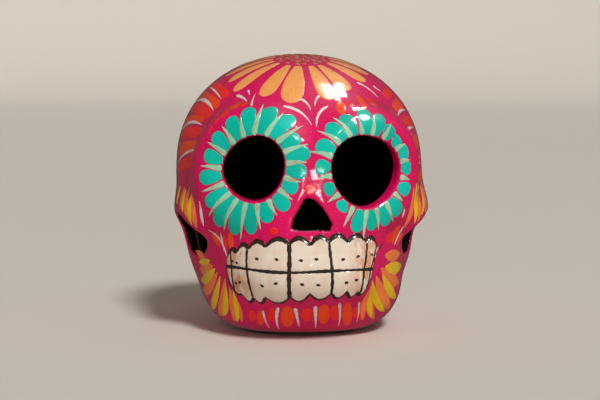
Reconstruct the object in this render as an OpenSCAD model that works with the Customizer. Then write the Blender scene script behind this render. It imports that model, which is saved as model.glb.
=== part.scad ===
// Hand-painted calavera skull in paper pulp, hollow, with open eye sockets, nose and sides.
// Millimetres. The origin is the middle of the base on the table; the face looks towards -Y.

/* [Skull form] */
// half width, half length and half height of the cranium
cranium = [61.3, 61, 55];
// middle of the cranium
cranium_at = [0, 9, 80.4];
// half sizes of the brow block
brow = [43, 37.5, 39];
// middle of the brow block
brow_at = [0, -20, 80];
// half sizes of the nose and upper jaw block
maxilla = [34, 31, 22];
// middle of the nose and upper jaw block
maxilla_at = [0, -32, 55];
// half sizes of the lower jaw block
jaw = [50, 51, 35];
// middle of the lower jaw block
jaw_at = [0, 0, 31];
// half sizes of the band that carries the teeth
muzzle = [36.5, 35, 19];
// middle of the band that carries the teeth
muzzle_at = [0, -31, 34.5];
// half sizes of a cheekbone
cheek = [14.5, 24, 14];
// middle of the cheekbone on the skull's left
cheek_at = [47, -11, 59.5];
// half sizes of the jaw branch behind a cheek opening
branch = [9, 16, 18];
// middle of the jaw branch on the skull's left
branch_at = [46, 4, 45];
// softness of the joins between the modelled lumps
soften = 4.0; // [1:0.1:8]
// thickness of the paper-pulp wall
wall = 5; // [3:0.5:8]
// height of the shell bottom above the table, where the base disc starts
shell_lift = 1; // [0.4:0.1:2]
// middle of the skull, from which the skin is measured
mid_pt = [0, 8, 66];

/* [Eye sockets] */
// distance of a socket from the centre line
eye_x = 27; // [22:0.5:32]
// how far ahead of the middle the sockets lie
eye_y = -53; // [-60:0.5:-45]
// height of the socket middles
eye_z = 81.3; // [70:0.1:90]
// how far the ring of petals round a socket turns outwards, degrees
eye_turn = 24; // [0:1:40]
// middle of the raised ring on the skull's left
ring_at = [26.5, -43, 81];
// direction in which that ring faces
ring_facing = [0.42, -1, -0.03];
// radius of the raised ring
ring_r = 20.5; // [16:0.5:26]
// thickness radius of that ring
ring_t = 8; // [4:0.5:12]

/* [Socket openings: the one at +X, then the one at -X] */
// outward turn of each opening, degrees
opening_turn = [24, 5];
// downward dip of each opening, as a slope
opening_dip = [-0.2, -0.12];
// middle of each opening from the socket's own, across and up
opening_at = [[-0.79, -0.68], [0.96, 0.69]];
// mean radius of each opening
opening_r = [17.4, 14.5];
// oval swell of each rim and its direction in degrees
opening_oval = [[1.34, -13], [1.2, 54]];
// three-lobed swell of each rim and its direction in degrees
opening_lobes = [[0.37, 17], [0.26, 60]];

/* [Nose and side openings] */
// half width of the nose opening near its foot
nose_w = 9.4; // [6:0.2:14]
// height of the foot of the nose opening
nose_z0 = 53.8; // [48:0.2:60]
// height of the nose apex
nose_z1 = 68.6; // [60:0.2:76]
// half length and half height of the opening under a cheekbone
side_hole = [15, 10.4];
// middle of that opening, y and z
side_at = [-13.9, 47.8];
// how far its front end is tipped up, degrees
side_tip = 10; // [-20:1:20]

/* [Teeth] */
// azimuths where the row starts and ends along its upper edge, degrees
teeth_top_ends = [-36, 29.6];
// azimuths where it starts and ends along the bite line
teeth_bite_ends = [-36.8, 24.4];
// azimuths where it starts and ends along its lower edge
teeth_low_ends = [-33.2, 21.6];
// height of the bite line
bite_z = 35.4; // [28:0.2:42]
// relief of the teeth over the jaw
teeth_t = 0.9; // [0.4:0.1:2]
// depth to which the teeth are keyed into the jaw
teeth_key = 0.6; // [0.3:0.1:1]
// height of the painted lines over the teeth
line_t = 0.35; // [0.2:0.05:0.8]
// width of the outline round the row, and of the bite line
outline_w = 1.5; // [1:0.1:2.5]
bite_w = 1.2; // [0.8:0.1:2]

/* [Paint] */
// height of a paint film over the skin
film = 0.45; // [0.2:0.05:1]
// depth to which a film is keyed into the skin
key = 0.55; // [0.2:0.05:1]
// how far back the flower on the crown is turned, degrees
crown_tilt = 14; // [0:1:30]
// points round a shell half
ring_n = 72; // [36:4:96]

/* [Base] */
// half width and half length of the base disc
base_r = [32, 34];
// thickness of the base disc
base_t = 1.6; // [0.8:0.1:3]

/* [Hidden] */
// reach of the socket cuts behind and ahead of the socket middle
cut_back = 24;
cut_front = 16;
// plane the nose cut starts from, distance the side cuts start from, and reach of both
nose_from = -40;
side_from = 30;
cut_reach = 45;
// distance of the guide points from the middle, and rows of points down each half shell
guide_r = 60;
front_rows = 22;
back_rows = 15;
// half width of the seam strip in degrees, its overlap with the wall and its thickness
strip_half = 7;
strip_bite = 0.2;
strip_t = 1;
magenta = [0.72, 0.06, 0.33];
dark_pulp = [0.10, 0.07, 0.07];
teal = [0.0, 0.60, 0.52];
mint = [0.55, 0.80, 0.66];
apricot = [0.98, 0.66, 0.33];
red = [0.92, 0.17, 0.13];
orange = [0.95, 0.33, 0.12];
yellow = [0.84, 0.64, 0.06];
cream = [0.90, 0.85, 0.78];
line = [0.18, 0.13, 0.10];
olive = [0.62, 0.53, 0.16];

// ---- the skin as one smooth field: negative inside, about millimetres from the surface ----

function unit(v) = v / norm(v);
function lump(p, c, r, n = 2, m = 2) =
  let (a = abs(p.x - c.x) / r.x, b = abs(p.y - c.y) / r.y, d = abs(p.z - c.z) / r.z,
       k0 = pow(pow(pow(a, n) + pow(b, n), m / n) + pow(d, m), 1 / m),
       k2 = max(norm([a, b, d]), 0.0001),
       k1 = norm([a / r.x, b / r.y, d / r.z]) / k2)
  (k0 - 1) / k1;

ring_axis = unit(ring_facing);
function ring(p) =
  let (d = p - ring_at, w = d * ring_axis, s = norm(d - w * ring_axis) - ring_r)
  norm([s, w]) - ring_t;

function skin_field(p) =
  let (q = [-p.x, p.y, p.z],
       lumps = [lump(p, cranium_at, cranium, 2.15, 2.12),
                lump(p, brow_at, brow, 2.2, 2.2),
                lump(p, maxilla_at, maxilla),
                lump(p, jaw_at, jaw, 2.5, 2.8),
                lump(p, muzzle_at, muzzle, 2.3, 2.4),
                lump(p, cheek_at, cheek),
                lump(q, cheek_at, cheek),
                lump(p, branch_at, branch),
                lump(q, branch_at, branch),
                ring(p),
                ring(q)],
       far = [for (f = lumps) exp(-f / soften)],
       body = -soften * ln(far * [for (f = lumps) 1]),
       foot = shell_lift - p.z)
  foot > body + 15 ? foot : body > foot + 15 ? body : 1.2 * ln(exp(body / 1.2) + exp(foot / 1.2));

// distance along the unit vector u from c at which the field reaches a given level
function reach(c, u, level, r = 45, n = 11) =
  n == 0 ? r : reach(c, u, level, max(5, r - 0.9 * (skin_field(c + r * u) - level)), n - 1);
function on_skin(p, level = 0, c = mid_pt) =
  let (u = unit(p - c)) c + reach(c, u, level) * u;

// guides: azimuth and elevation seen from the middle, azimuth and height, crown and socket polars
function by_angle(a, e) = mid_pt + guide_r * [cos(e) * sin(a), -cos(e) * cos(a), sin(e)];
function by_height(a, z) = [guide_r * sin(a), mid_pt.y - guide_r * cos(a), z];
function by_crown(b, d) =
  let (up = [0, -sin(crown_tilt), cos(crown_tilt)], fwd = [0, -cos(crown_tilt), -sin(crown_tilt)])
  mid_pt + guide_r * (cos(d) * up + sin(d) * (cos(b) * fwd + sin(b) * [1, 0, 0]));
function facing(side, turn, dip) = unit([side * sin(turn), -cos(turn), dip]);
function across(side, turn) = [cos(turn), side * sin(turn), 0];
function upward(v) = v.z < 0 ? -v : v;
function above(side, turn, dip) = upward(cross(across(side, turn), facing(side, turn, dip)));
function eye_mid(side) = [side * eye_x, eye_y, eye_z];
function by_eye(side, a, r) =
  eye_mid(side) + r * (cos(a) * across(side, eye_turn) + sin(a) * above(side, eye_turn, -0.06));

// the rim of a socket opening: its radius at an angle, and how far outside it a point lies
function pick(side) = side > 0 ? 0 : 1;
function rim_radius(side, a) =
  let (k = pick(side), oval = opening_oval[k], lobes = opening_lobes[k])
  opening_r[k] + oval[0] * cos(2 * (a - oval[1])) + lobes[0] * cos(3 * (a - lobes[1]));
function outside_rim(side, p) =
  let (k = pick(side), d = p - eye_mid(side), turn = opening_turn[k],
       x = d * across(side, turn) - opening_at[k].x,
       y = d * above(side, turn, opening_dip[k]) - opening_at[k].y)
  norm([x, y]) - rim_radius(side, atan2(y, x));
// distance from the socket middle to the rim on the skin, in direction a
function rim_at(side, a, r = 17, n = 8) =
  n == 0 ? r : rim_at(side, a, r - 0.9 * outside_rim(side, on_skin(by_eye(side, a, r))), n - 1);

// ---- shells: polar grids about the Y axis through the middle, outer skin and coarser lining ----

// number the rows of points first, then join them with triangles
function polar(al, be) = [sin(al) * cos(be), -cos(al), sin(al) * sin(be)];
function skin_rows(al0, al1, rows, n, level) =
  [for (i = [1:rows]) for (j = [0:n - 1])
    let (u = polar(al0 + (al1 - al0) * i / rows, 360 * j / n))
    mid_pt + reach(mid_pt, u, level) * u];
function quad_rows(start, rows, n, flip) =
  [for (i = [0:rows - 2]) for (j = [0:n - 1])
    let (a = start + i * n + j, b = start + i * n + (j + 1) % n, c = b + n, d = a + n)
    each flip ? [[a, b, c], [a, c, d]] : [[a, c, b], [a, d, c]]];
function cap_row(pole, start, n, flip) =
  [for (j = [0:n - 1])
    flip ? [pole, start + (j + 1) % n, start + j] : [pole, start + j, start + (j + 1) % n]];

// half shell from the pole (al0 = 0 front, 180 back) to the seam at 90 degrees
module half_shell(al0, rows, n) {
  m = n / 2;
  rows_in = floor(rows / 2);
  pole = polar(al0, 0);
  outer = skin_rows(al0, 90, rows, n, 0);
  inner = skin_rows(al0, 90, rows_in, m, -wall);
  pts = concat([mid_pt + reach(mid_pt, pole, 0) * pole], outer,
               [mid_pt + reach(mid_pt, pole, -wall) * pole], inner);
  in0 = 1 + rows * n;
  last_o = 1 + (rows - 1) * n;
  last_i = in0 + 1 + (rows_in - 1) * m;
  front = al0 < 90;
  seam = [for (j = [0:m - 1])
    let (o0 = last_o + 2 * j, o1 = o0 + 1, o2 = last_o + (2 * j + 2) % n,
         i0 = last_i + j, i1 = last_i + (j + 1) % m)
    each front ? [[o0, i0, o1], [o1, i0, i1], [o1, i1, o2]]
               : [[o0, o1, i0], [o1, i1, i0], [o1, o2, i1]]];
  polyhedron(pts, concat(
    cap_row(0, 1, n, !front), quad_rows(1, rows, n, !front),
    cap_row(in0, in0 + 1, m, front), quad_rows(in0 + 1, rows_in, m, front), seam));
}

module eye_cut(side) {
  k = pick(side);
  a = facing(side, opening_turn[k], opening_dip[k]);
  u = across(side, opening_turn[k]);
  v = above(side, opening_turn[k], opening_dip[k]);
  c = eye_mid(side) + opening_at[k].x * u + opening_at[k].y * v;
  rim = [for (t = [0:12:348]) rim_radius(side, t) * (cos(t) * u + sin(t) * v)];
  n = len(rim);
  sides = [for (j = [0:n - 1]) [j, j + n, (j + 1) % n + n, (j + 1) % n]];
  polyhedron(concat([for (q = rim) c - cut_back * a + q], [for (q = rim) c + cut_front * a + q]),
    concat([[for (j = [0:n - 1]) j]], [[for (j = [0:n - 1]) 2 * n - 1 - j]], sides));
}

module nose_cut() {
  // a rounded triangle, its apex a little to one side as hand cut
  w = nose_w;
  h = nose_z1 - nose_z0;
  translate([0, nose_from, nose_z0]) rotate([90, 0, 0])
    linear_extrude(cut_reach)
      polygon([[-w - 0.4, 0.5], [-0.1 * w, 0], [0.85 * w, 0.1], [w, 0.18 * h], [0.8 * w, 0.42 * h],
        [0.52 * w, 0.7 * h], [0.14 * w, 0.94 * h], [-0.2 * w, h], [-0.36 * w, 0.94 * h],
        [-0.56 * w, 0.72 * h], [-0.9 * w, 0.36 * h]]);
}

module side_cut(side) {
  translate([side * side_from, side_at[0], side_at[1]]) rotate([-side_tip, 0, 0])
    rotate([0, side * 90, 0]) linear_extrude(cut_reach)
      polygon([for (t = [0:20:340]) [side_hole[1] * cos(t), side_hole[0] * sin(t)]]);
}

module cuts() {
  eye_cut(-1);
  eye_cut(1);
  nose_cut();
  side_cut(-1);
  side_cut(1);
}

module face_shell() {
  color(magenta)
    difference() {
      half_shell(0, front_rows, ring_n);
      cuts();
    }
}

module back_shell() {
  color(magenta)
    difference() {
      half_shell(180, back_rows, ring_n);
      side_cut(-1);
      side_cut(1);
    }
}

// paper strip pasted over the joint on the inside
module seam_strip() {
  n = 36;
  pts = [for (s = [-1, 1]) for (level = [-wall + strip_bite, -wall - strip_t]) for (j = [0:n - 1])
    let (u = polar(90 + strip_half * s, 360 * j / n)) mid_pt + reach(mid_pt, u, level) * u];
  color(dark_pulp)
    difference() {
      polyhedron(pts, [for (j = [0:n - 1])
        let (k = (j + 1) % n)
        each [[j, k, n + k], [j, n + k, n + j],
              [2 * n + j, 3 * n + k, 2 * n + k], [2 * n + j, 3 * n + j, 3 * n + k],
              [j, 2 * n + j, 2 * n + k], [j, 2 * n + k, k],
              [n + j, n + k, 3 * n + k], [n + j, 3 * n + k, 3 * n + j]]]);
      side_cut(-1);
      side_cut(1);
    }
}

module base_disc() {
  color(dark_pulp)
    linear_extrude(base_t)
      polygon([for (t = [0:7.5:352.5]) [base_r[0] * cos(t), base_r[1] * sin(t)]]);
}

// ---- brush marks: thin films that follow the skin ----

function between(a, b, t) = a + (b - a) * t;
// two triangles for a four-sided cell
function cell(a, b, c, d, flip) = flip ? [[a, b, c], [a, c, d]] : [[a, c, b], [a, d, c]];
// a round tip from t0 to 1, and the share of the full width at t from root to tip
function round_tip(t, t0) = sqrt(max(0.02, 1 - pow(max(0, (t - t0) / (1 - t0)), 2)));
function outline(kind, t) =
  kind == "petal" ? (0.42 + 0.58 * sin(90 * min(1, t / 0.62))) * round_tip(t, 0.62)
  : kind == "drop" ? (0.30 + 0.70 * sin(90 * min(1, t / 0.78))) * round_tip(t, 0.7)
  : kind == "leaf" ? max(0.12, pow(sin(180 * t), 0.75))
  : kind == "ray" ? max(0.12, (1 - 0.88 * t) * sqrt(min(1, 0.3 + 5 * t)))
  : kind == "comma" ? max(0.15, sqrt(min(1, 9 * t)) * pow(1 - t, 0.62))
  : kind == "oval" ? max(0.2, sqrt(max(0, 1 - pow(2 * t - 1, 2))))
  : max(0.35, sqrt(1 - pow(abs(2 * t - 1), 6)));

// a film over a list of guide points with a width each; wide ones get a middle line of points
module ribbon(guide, widths, cols = 3, up = film, down = key, c = mid_pt) {
  n = len(guide);
  rails = [for (i = [0:n - 1])
    let (p = guide[i], fwd = unit(guide[min(n - 1, i + 1)] - guide[max(0, i - 1)]),
         q = is_undef(c.z) ? [c.x, c.y, p.z] : c, side = unit(cross(fwd, p - q)))
    for (s = [0:cols - 1]) [p + side * widths[i] * (s / (cols - 1) - 0.5), q]];
  top = [for (r = rails) on_skin(r[0], up, r[1])];
  bot = [for (r = rails) on_skin(r[0], -down, r[1])];
  k = n * cols;
  over = [for (i = [0:n - 2]) for (s = [0:cols - 2])
    let (a = i * cols + s) each cell(a, a + 1, a + cols + 1, a + cols, false)];
  under = [for (i = [0:n - 2]) for (s = [0:cols - 2])
    let (a = k + i * cols + s) each cell(a, a + 1, a + cols + 1, a + cols, true)];
  edge0 = [for (i = [0:n - 2])
    let (a = i * cols, b = a + cols) each cell(a, b, b + k, a + k, false)];
  edge1 = [for (i = [0:n - 2])
    let (a = i * cols + cols - 1, b = a + cols) each cell(a, b, b + k, a + k, true)];
  end0 = [for (s = [0:cols - 2]) each cell(s, s + 1, s + 1 + k, s + k, true)];
  end1 = [for (s = [0:cols - 2])
    let (a = (n - 1) * cols + s) each cell(a, a + 1, a + 1 + k, a + k, false)];
  polyhedron(concat(top, bot), concat(over, under, edge0, edge1, end0, end1));
}

module stroke(a, b, w, kind = "leaf", bend = 0, steps = 5, cols = 2) {
  pa = on_skin(a);
  pb = on_skin(b);
  side = unit(cross(pb - pa, (pa + pb) / 2 - mid_pt));
  ribbon([for (i = [0:steps]) between(pa, pb, i / steps) + side * bend * 4 * (i / steps) * (1 - i / steps)],
    [for (i = [0:steps]) w * outline(kind, i / steps)], cols);
}

// rows: azimuth and elevation of root and tip, width, bend
module marks(rows, kind, cols = 2, steps = 5) {
  for (m = rows)
    stroke(by_angle(m[0], m[1]), by_angle(m[2], m[3]), m[4], kind, m[5], steps, cols);
}

// a raised round dab of paint over a guide point
module dab(p, r) {
  at = on_skin(p);
  n = unit(at - mid_pt);
  translate(at - key * n) rotate([0, acos(n.z), atan2(n.y, n.x)])
    cylinder(h = key + film, r = r, $fn = 24);
}

// ---- teeth ----

// scallop corners, azimuth and height, with the swell between each pair
top_corner = [[-36.6, 38.6], [-30.5, 41.8], [-24.5, 44.3], [-17.3, 45.8], [-8.4, 47.4], [-0.9, 46.9],
  [6, 48.4], [13.4, 48], [21.9, 47.3], [28, 44.6]];
low_corner = [[-36.6, 31], [-28.8, 23.6], [-23.4, 22.6], [-18, 23.3], [-8, 23.7], [-0.8, 25.5],
  [7.3, 25.6], [13.2, 26.3], [18, 25.6], [22.6, 27.6]];
// lines between teeth: azimuth at the upper and at the lower edge, width
tooth_gap = [[-34.4, -32.6, 1], [-24.7, -23.6, 1.2], [-8.3, -8.1, 1.8], [6.1, 7.1, 1.4], [22, 19.3, 1.1]];
tooth_dot = [[-27.8, 37.9], [-20.2, 40.6], [-12.7, 40.8], [-4.2, 40.5], [1.3, 41], [11, 40.6],
  [17, 41.4], [-30.1, 28.4], [-27.2, 29], [-18.3, 28.7], [-13, 30.1], [-3.7, 29.8],
  [2, 29.4], [12.3, 30.1], [16.2, 31]];
function scallop(list, a, swell) =
  let (i = max([for (k = [0:len(list) - 2]) a >= list[k][0] - 0.001 ? k : 0]),
       t = max(0, min(1, (a - list[i][0]) / (list[i + 1][0] - list[i][0]))))
  between(list[i][1], list[i + 1][1], t) + swell * pow(sin(180 * t), 0.8);
function teeth_top(a) = scallop(top_corner, a, 3);
function teeth_low(a) = scallop(low_corner, a, -3.4);
function level_pt(p, level) = on_skin(p, level, [0, mid_pt.y, p.z]);

module tooth_row(upper) {
  n = 44;
  ends = upper ? teeth_top_ends : teeth_low_ends;
  rails = [for (i = [0:n]) for (s = [0, 1, 2])
    let (a = between(ends[0], ends[1], i / n), b = between(teeth_bite_ends[0], teeth_bite_ends[1], i / n),
         edge = upper ? teeth_top(a) : teeth_low(a))
    by_height(between(b, a, s / 2), between(bite_z, edge, s / 2))];
  pts = concat([for (p = rails) level_pt(p, teeth_t)], [for (p = rails) level_pt(p, -teeth_key)]);
  k = 3 * (n + 1);
  polyhedron(pts, concat(
    [for (i = [0:n - 1]) for (s = [0, 1]) let (a = 3 * i + s) each cell(a, a + 1, a + 4, a + 3, upper)],
    [for (i = [0:n - 1]) for (s = [0, 1]) let (a = k + 3 * i + s) each cell(a, a + 1, a + 4, a + 3, !upper)],
    [for (i = [0:n - 1]) let (a = 3 * i) each cell(a, a + 3, a + 3 + k, a + k, upper)],
    [for (i = [0:n - 1]) let (a = 3 * i + 2) each cell(a, a + 3, a + 3 + k, a + k, !upper)],
    [for (s = [0, 1]) each cell(s, s + 1, s + 1 + k, s + k, !upper)],
    [for (s = [0, 1]) let (a = 3 * n + s) each cell(a, a + 1, a + 1 + k, a + k, upper)]));
}

module upper_teeth() {
  color(cream) tooth_row(true);
}

module lower_teeth() {
  color(cream) tooth_row(false);
}

module tooth_line(pts, w) {
  ribbon(pts, [for (p = pts) w], 2, teeth_t + line_t, -0.2, [0, mid_pt.y, undef]);
}

module edge_line(ends, upper) {
  n = 38;
  az = [for (i = [0:n]) between(ends[0], ends[1], i / n)];
  tooth_line([for (a = az) by_height(a, upper ? teeth_top(a) : teeth_low(a))], outline_w);
}

module tooth_lines() {
  color(line) {
    edge_line(teeth_top_ends, true);
    edge_line(teeth_low_ends, false);
    tooth_line([for (t = [0:16])
      by_height(between(teeth_bite_ends[0], teeth_bite_ends[1], t / 16), bite_z)], bite_w);
    for (g = tooth_gap)
      tooth_line([for (t = [0:6])
        by_height(between(g[0], g[1], t / 6), between(teeth_top(g[0]), teeth_low(g[1]), t / 6))], g[2]);
  }
}

module tooth_dots() {
  color(line)
    for (q = tooth_dot)
      translate(level_pt(by_height(q[0], q[1]), teeth_t)) rotate([90, 0, q[0]])
        cylinder(h = 1, r = 0.75, center = true, $fn = 24);
}

// ---- painted motifs ----

// rings of dots in the eye of the crown flower: reach in degrees, how many, turn
crown_ring = [[2.4, 5, 0], [5.6, 10, 18], [9, 15, 6]];
// its petals: bearing from straight ahead, reach in degrees, width
crown_petal = [[-94, 32, 6.4], [-76, 32, 6.6], [-58, 34.5, 7.4], [-31, 34.5, 8.6], [-11.5, 36.5, 11.2],
  [14, 35, 9], [33, 31, 9], [60, 29, 8.5], [82, 28, 7.5], [104, 28, 7.5], [127, 29, 8.5], [150, 30, 9],
  [173, 31, 9], [196, 31, 9], [219, 31, 9], [243, 31, 8]];
crown_petal_root = 11.5;

module crown_dots() {
  color(olive)
    for (r = crown_ring)
      for (i = [0:r[1] - 1])
        dab(by_crown(r[2] + i * 360 / r[1], r[0]), 1.15);
}

module crown_petals() {
  color(apricot)
    for (m = crown_petal)
      stroke(by_crown(m[0], crown_petal_root), by_crown(m[0], m[1]), m[2], "drop", 0, 5, 3);
}

module forehead_strokes() {
  color(cream)
    marks([[-40.7, 44.4, -30.3, 39.5, 2, -0.7], [-34.6, 47.1, -31.8, 44.1, 1.3, 0],
      [-26, 36.3, -28.8, 45, 1.3, -0.5], [-12.1, 37.8, 0.6, 29.4, 2, -2.3], [-4, 42.1, 0.6, 36.3, 1.7, -0.9],
      [6, 44, 2.7, 38.1, 1.5, 0.6], [8.9, 38, 2.6, 28.5, 1.7, 2.2], [34.7, 51.9, 42.4, 43, 1.5, -1.4],
      [47.6, 49.9, 50.6, 46.7, 1.5, 0.4]], "comma");
}

module brow_dots() {
  color(orange)
    marks([[-35.8, 34.9, -34.6, 39.6, 6.2, 0], [13.6, 33, 15.4, 40.9, 4.9, 0],
      [25.2, 34.7, 28, 43.8, 4, 0]], "oval", 3, 4);
  color(red)
    marks([[-41, 28.2, -39.7, 31.2, 2.6, 0], [-32.2, 36.3, -30.2, 39.6, 5, 0],
      [-38.4, 30.6, -37.2, 35.6, 4, 0], [-42.4, 24.5, -41.6, 28, 1.7, 0],
      [17, 37.5, 21.2, 38, 3.8, 0], [33.6, 42.4, 32, 36.4, 5.4, 0]], "oval", 3, 4);
}

// petals and rays round each socket: direction in degrees, distance of the tip from the middle
left_petals = [[95, 34], [75, 38], [57, 38], [37, 30], [20, 31], [0, 27], [-21, 24], [-45, 25], [-69, 25],
  [-90, 29], [-108, 32], [-126, 34], [-143, 29], [-170, 27], [164, 25], [139, 26], [114, 29]];
left_rays = [[86, 39], [66, 36], [46, 37], [28, 32], [11, 28], [-10, 25], [-33, 24], [-57, 24], [-78, 27],
  [-99, 33], [-117, 34], [-135, 33], [-156, 28], [178, 26], [151, 26], [127, 26], [104, 27]];
right_petals = [[92, 32], [75, 29], [57, 25], [39, 23], [20, 24], [0, 24], [-26, 26], [-50, 29], [-68, 29],
  [-87, 28], [-106, 29], [-131, 24], [-158, 25], [175, 28], [152, 31], [131, 33], [113, 32]];
right_rays = [[102, 26], [83, 28], [60, 26], [30, 24], [10, 24], [-13, 24], [-38, 25], [-58, 30], [-78, 29],
  [-95, 33], [-118, 29], [-145, 26], [-172, 27], [162, 33], [141, 35], [122, 34]];

module eye_petals(side, rows) {
  color(teal)
    for (m = rows)
      stroke(by_eye(side, m[0], rim_at(side, m[0]) + 0.9), by_eye(side, m[0], m[1]), 4.9 + m[1] / 12,
        "petal", 0, 5, 3);
}

module eye_rays(side, rows) {
  color(mint)
    for (m = rows)
      stroke(by_eye(side, m[0], rim_at(side, m[0]) + 0.7), by_eye(side, m[0] - 1, m[1]), 3.3, "ray", 0.3, 4);
}

module left_eye_petals() {
  eye_petals(-1, left_petals);
}

module left_eye_rays() {
  eye_rays(-1, left_rays);
}

module right_eye_petals() {
  eye_petals(1, right_petals);
}

module right_eye_rays() {
  eye_rays(1, right_rays);
}

module left_temple_band() {
  color(red)
    marks([[-47.5, 43.8, -84, 50.4, 6.4, 0], [-51.5, 34.6, -86, 38.6, 6.2, 0], [-54, 27.6, -88, 25.4, 6, 0],
      [-51, 16.4, -82, 11.6, 5.4, 0]], "bar", 3, 4);
  color(orange)
    marks([[-49.5, 38.8, -84, 44.6, 6.2, 0], [-57, 33, -88, 31.6, 4.6, 0],
      [-51, 21.8, -88, 18.6, 6.4, 0]], "bar", 3, 4);
}

module right_temple_band() {
  color(red)
    marks([[50.4, 43.6, 66, 47.4, 5.4, 0], [49.4, 29.4, 72, 32.4, 7.6, 0],
      [49.2, 15.2, 74, 17, 5.2, 0]], "bar", 3, 4);
  color(orange)
    marks([[52.6, 37.4, 68, 41.2, 6.6, 0], [47.6, 21.2, 74, 23.4, 7.6, 0],
      [48.8, 8.4, 74, 9.6, 6.4, 0]], "bar", 3, 4);
}

module temple_strokes() {
  color(cream)
    marks([[-50.3, 42.4, -82, 49.2, 1.1, 0.6], [-51.7, 37, -86, 41, 2, 2.4], [-56, 30.6, -88, 26.5, 1.9, 2.6],
      [-51, 20, -80, 14, 1.4, 2], [50.6, 34.2, 68, 37.2, 1.6, -1.2], [48.5, 24.6, 69, 29.2, 1.9, -2],
      [49.6, 13.4, 71, 16.4, 1.7, -2]], "comma");
}

module left_cheek_feathers() {
  color(orange)
    marks([[-52.5, 1.6, -52.5, -11.8, 4, -0.5], [-57.2, 5, -56.8, -7.4, 4.2, 0.5],
      [-63, 5, -61.4, -4.6, 3.6, 0.4]], "leaf");
  color(yellow)
    marks([[-53.4, 2.2, -54.4, -10.4, 3.5, 1], [-60.6, 4, -59.2, -5.4, 3, 0.8],
      [-69.4, 4.6, -67, -2.8, 3.4, 0.4]], "leaf");
}

module right_cheek_feathers() {
  color(orange)
    marks([[45.5, 5, 47.1, -12.8, 3.6, -1.2], [49.6, 6.4, 54.2, -10, 4.6, -1],
      [65, 6, 59.4, -6.2, 4.4, -0.8]], "leaf");
  color(yellow)
    marks([[47.4, 6.3, 51.9, -10.4, 3.8, -0.6], [60.4, 4.6, 55.4, -7, 3, -0.6]], "leaf");
}

module cheek_strokes() {
  color(orange)
    marks([[-45.1, -13.3, -42.4, -19.6, 4, 0.6], [-34.3, -12.3, -34.3, -19.4, 4.4, 0.2],
      [43.8, -11.2, 41.4, -18.9, 5.2, 0.4], [48.6, -15.2, 46.6, -20.6, 3.8, 0]], "oval");
  color(red)
    marks([[-38.2, -14, -38.3, -19.6, 3.5, 0], [35.9, -17.6, 39.8, -14, 5.6, 0]], "oval");
  color(cream)
    marks([[-47.1, -12.6, -36.8, -22.4, 1.3, -1.2], [-40.4, -13.3, -38.7, -21, 1.3, 0.6],
      [-47.2, -0.1, -48.5, -10.8, 1.8, -0.2], [46.4, -11.6, 43.4, -19.9, 1.3, -1],
      [42.2, -3.4, 42.8, -7.6, 1.4, 0]], "leaf");
}

module left_jaw_feathers() {
  color(orange)
    marks([[-55.4, -27.6, -67, -25.2, 5.4, -0.4], [-48.6, -28.2, -67, -33.2, 5.6, -0.6],
      [-44.4, -29.6, -69, -42, 5.4, -1.2], [-38.6, -30.2, -54.4, -48.4, 5, -2.2],
      [-36.3, -32.7, -40.9, -48.2, 4.4, -1.6], [-33.9, -35.2, -35.2, -47.4, 3.3, -0.8]], "leaf", 3);
  color(yellow)
    marks([[-51.4, -26.8, -66, -30, 3.6, -0.4], [-46.6, -28.8, -67, -37.4, 4.8, -0.8],
      [-42.4, -30.6, -62, -47.6, 4.2, -1.4], [-38.8, -32.8, -48.8, -47.2, 3.8, -1.8],
      [-34.4, -33.2, -39, -48.2, 2.9, -1.6]], "leaf");
}

module right_jaw_feathers() {
  color(orange)
    marks([[33.7, -21.6, 52, -25, 5.6, 0.4], [30.4, -25.2, 53, -36, 6.6, 0.8],
      [27, -26.8, 50, -44.8, 6.4, 1.6], [24.8, -29.8, 38.4, -47.6, 4.6, 2.2],
      [24.4, -32.2, 29.2, -46.6, 3.2, 1.2]], "leaf", 3);
  color(yellow)
    marks([[34.2, -25.8, 56, -30.4, 5.8, 0.6], [31.8, -27.6, 53, -41.4, 4.8, 1],
      [24.8, -27.9, 44, -45, 4.2, 1.8], [26, -31.5, 35, -46.4, 3, 1.4]], "leaf");
}

module chin_beads() {
  color(orange)
    marks([[-22.2, -40.3, -24.8, -48.2, 3.7, 0], [-9.6, -37.4, -10.8, -49.2, 6.6, 0],
      [5.6, -36.4, 8.1, -47.5, 6, 0], [15.7, -35.9, 21.6, -49.2, 5.2, 0],
      [23.4, -36, 29, -46.8, 3.5, 0]], "oval", 3);
  color(red)
    marks([[-26.4, -40.8, -28.3, -46, 4, 0], [-16.6, -38.6, -18.1, -45.7, 4.8, 0],
      [-1.2, -38.6, -0.7, -46, 6.5, 0], [10.7, -37, 13.3, -45.6, 5.9, 0],
      [21.3, -39.4, 23.8, -44.7, 3.7, 0]], "oval", 3);
}

module chin_strokes() {
  color(cream)
    marks([[-21.1, -40.4, -20.6, -50.4, 1.3, 0.4], [-13.7, -38.3, -15.6, -51, 1.9, 1],
      [-6.5, -38.4, -4.6, -49.4, 2.1, 0], [2.2, -37.2, 4.3, -50.4, 2.2, 0],
      [12.2, -35.9, 16.3, -49.2, 1.7, -0.6], [21.8, -36.9, 25.8, -47.6, 1.3, -0.5]], "comma");
}

module nose_dots() {
  color(red) {
    dab(by_angle(-0.4, 5.6), 2.9);
    dab(by_angle(-14.3, -9.9), 1.8);
  }
}

// the flower on the back, at a bearing and reach in degrees from its own middle
function by_back(b, r) = by_angle(180 + r * cos(b), 4 + r * sin(b));

module back_flower() {
  color(apricot)
    for (i = [0:9])
      stroke(by_back(36 * i, 8), by_back(36 * i, 27), 9, "petal", 0, 5, 3);
}

module back_flower_eye() {
  color(olive) {
    dab(by_back(0, 0), 1.4);
    for (i = [1:7])
      dab(by_back(i * 360 / 7, 4.2), 1.4);
  }
}

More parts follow.
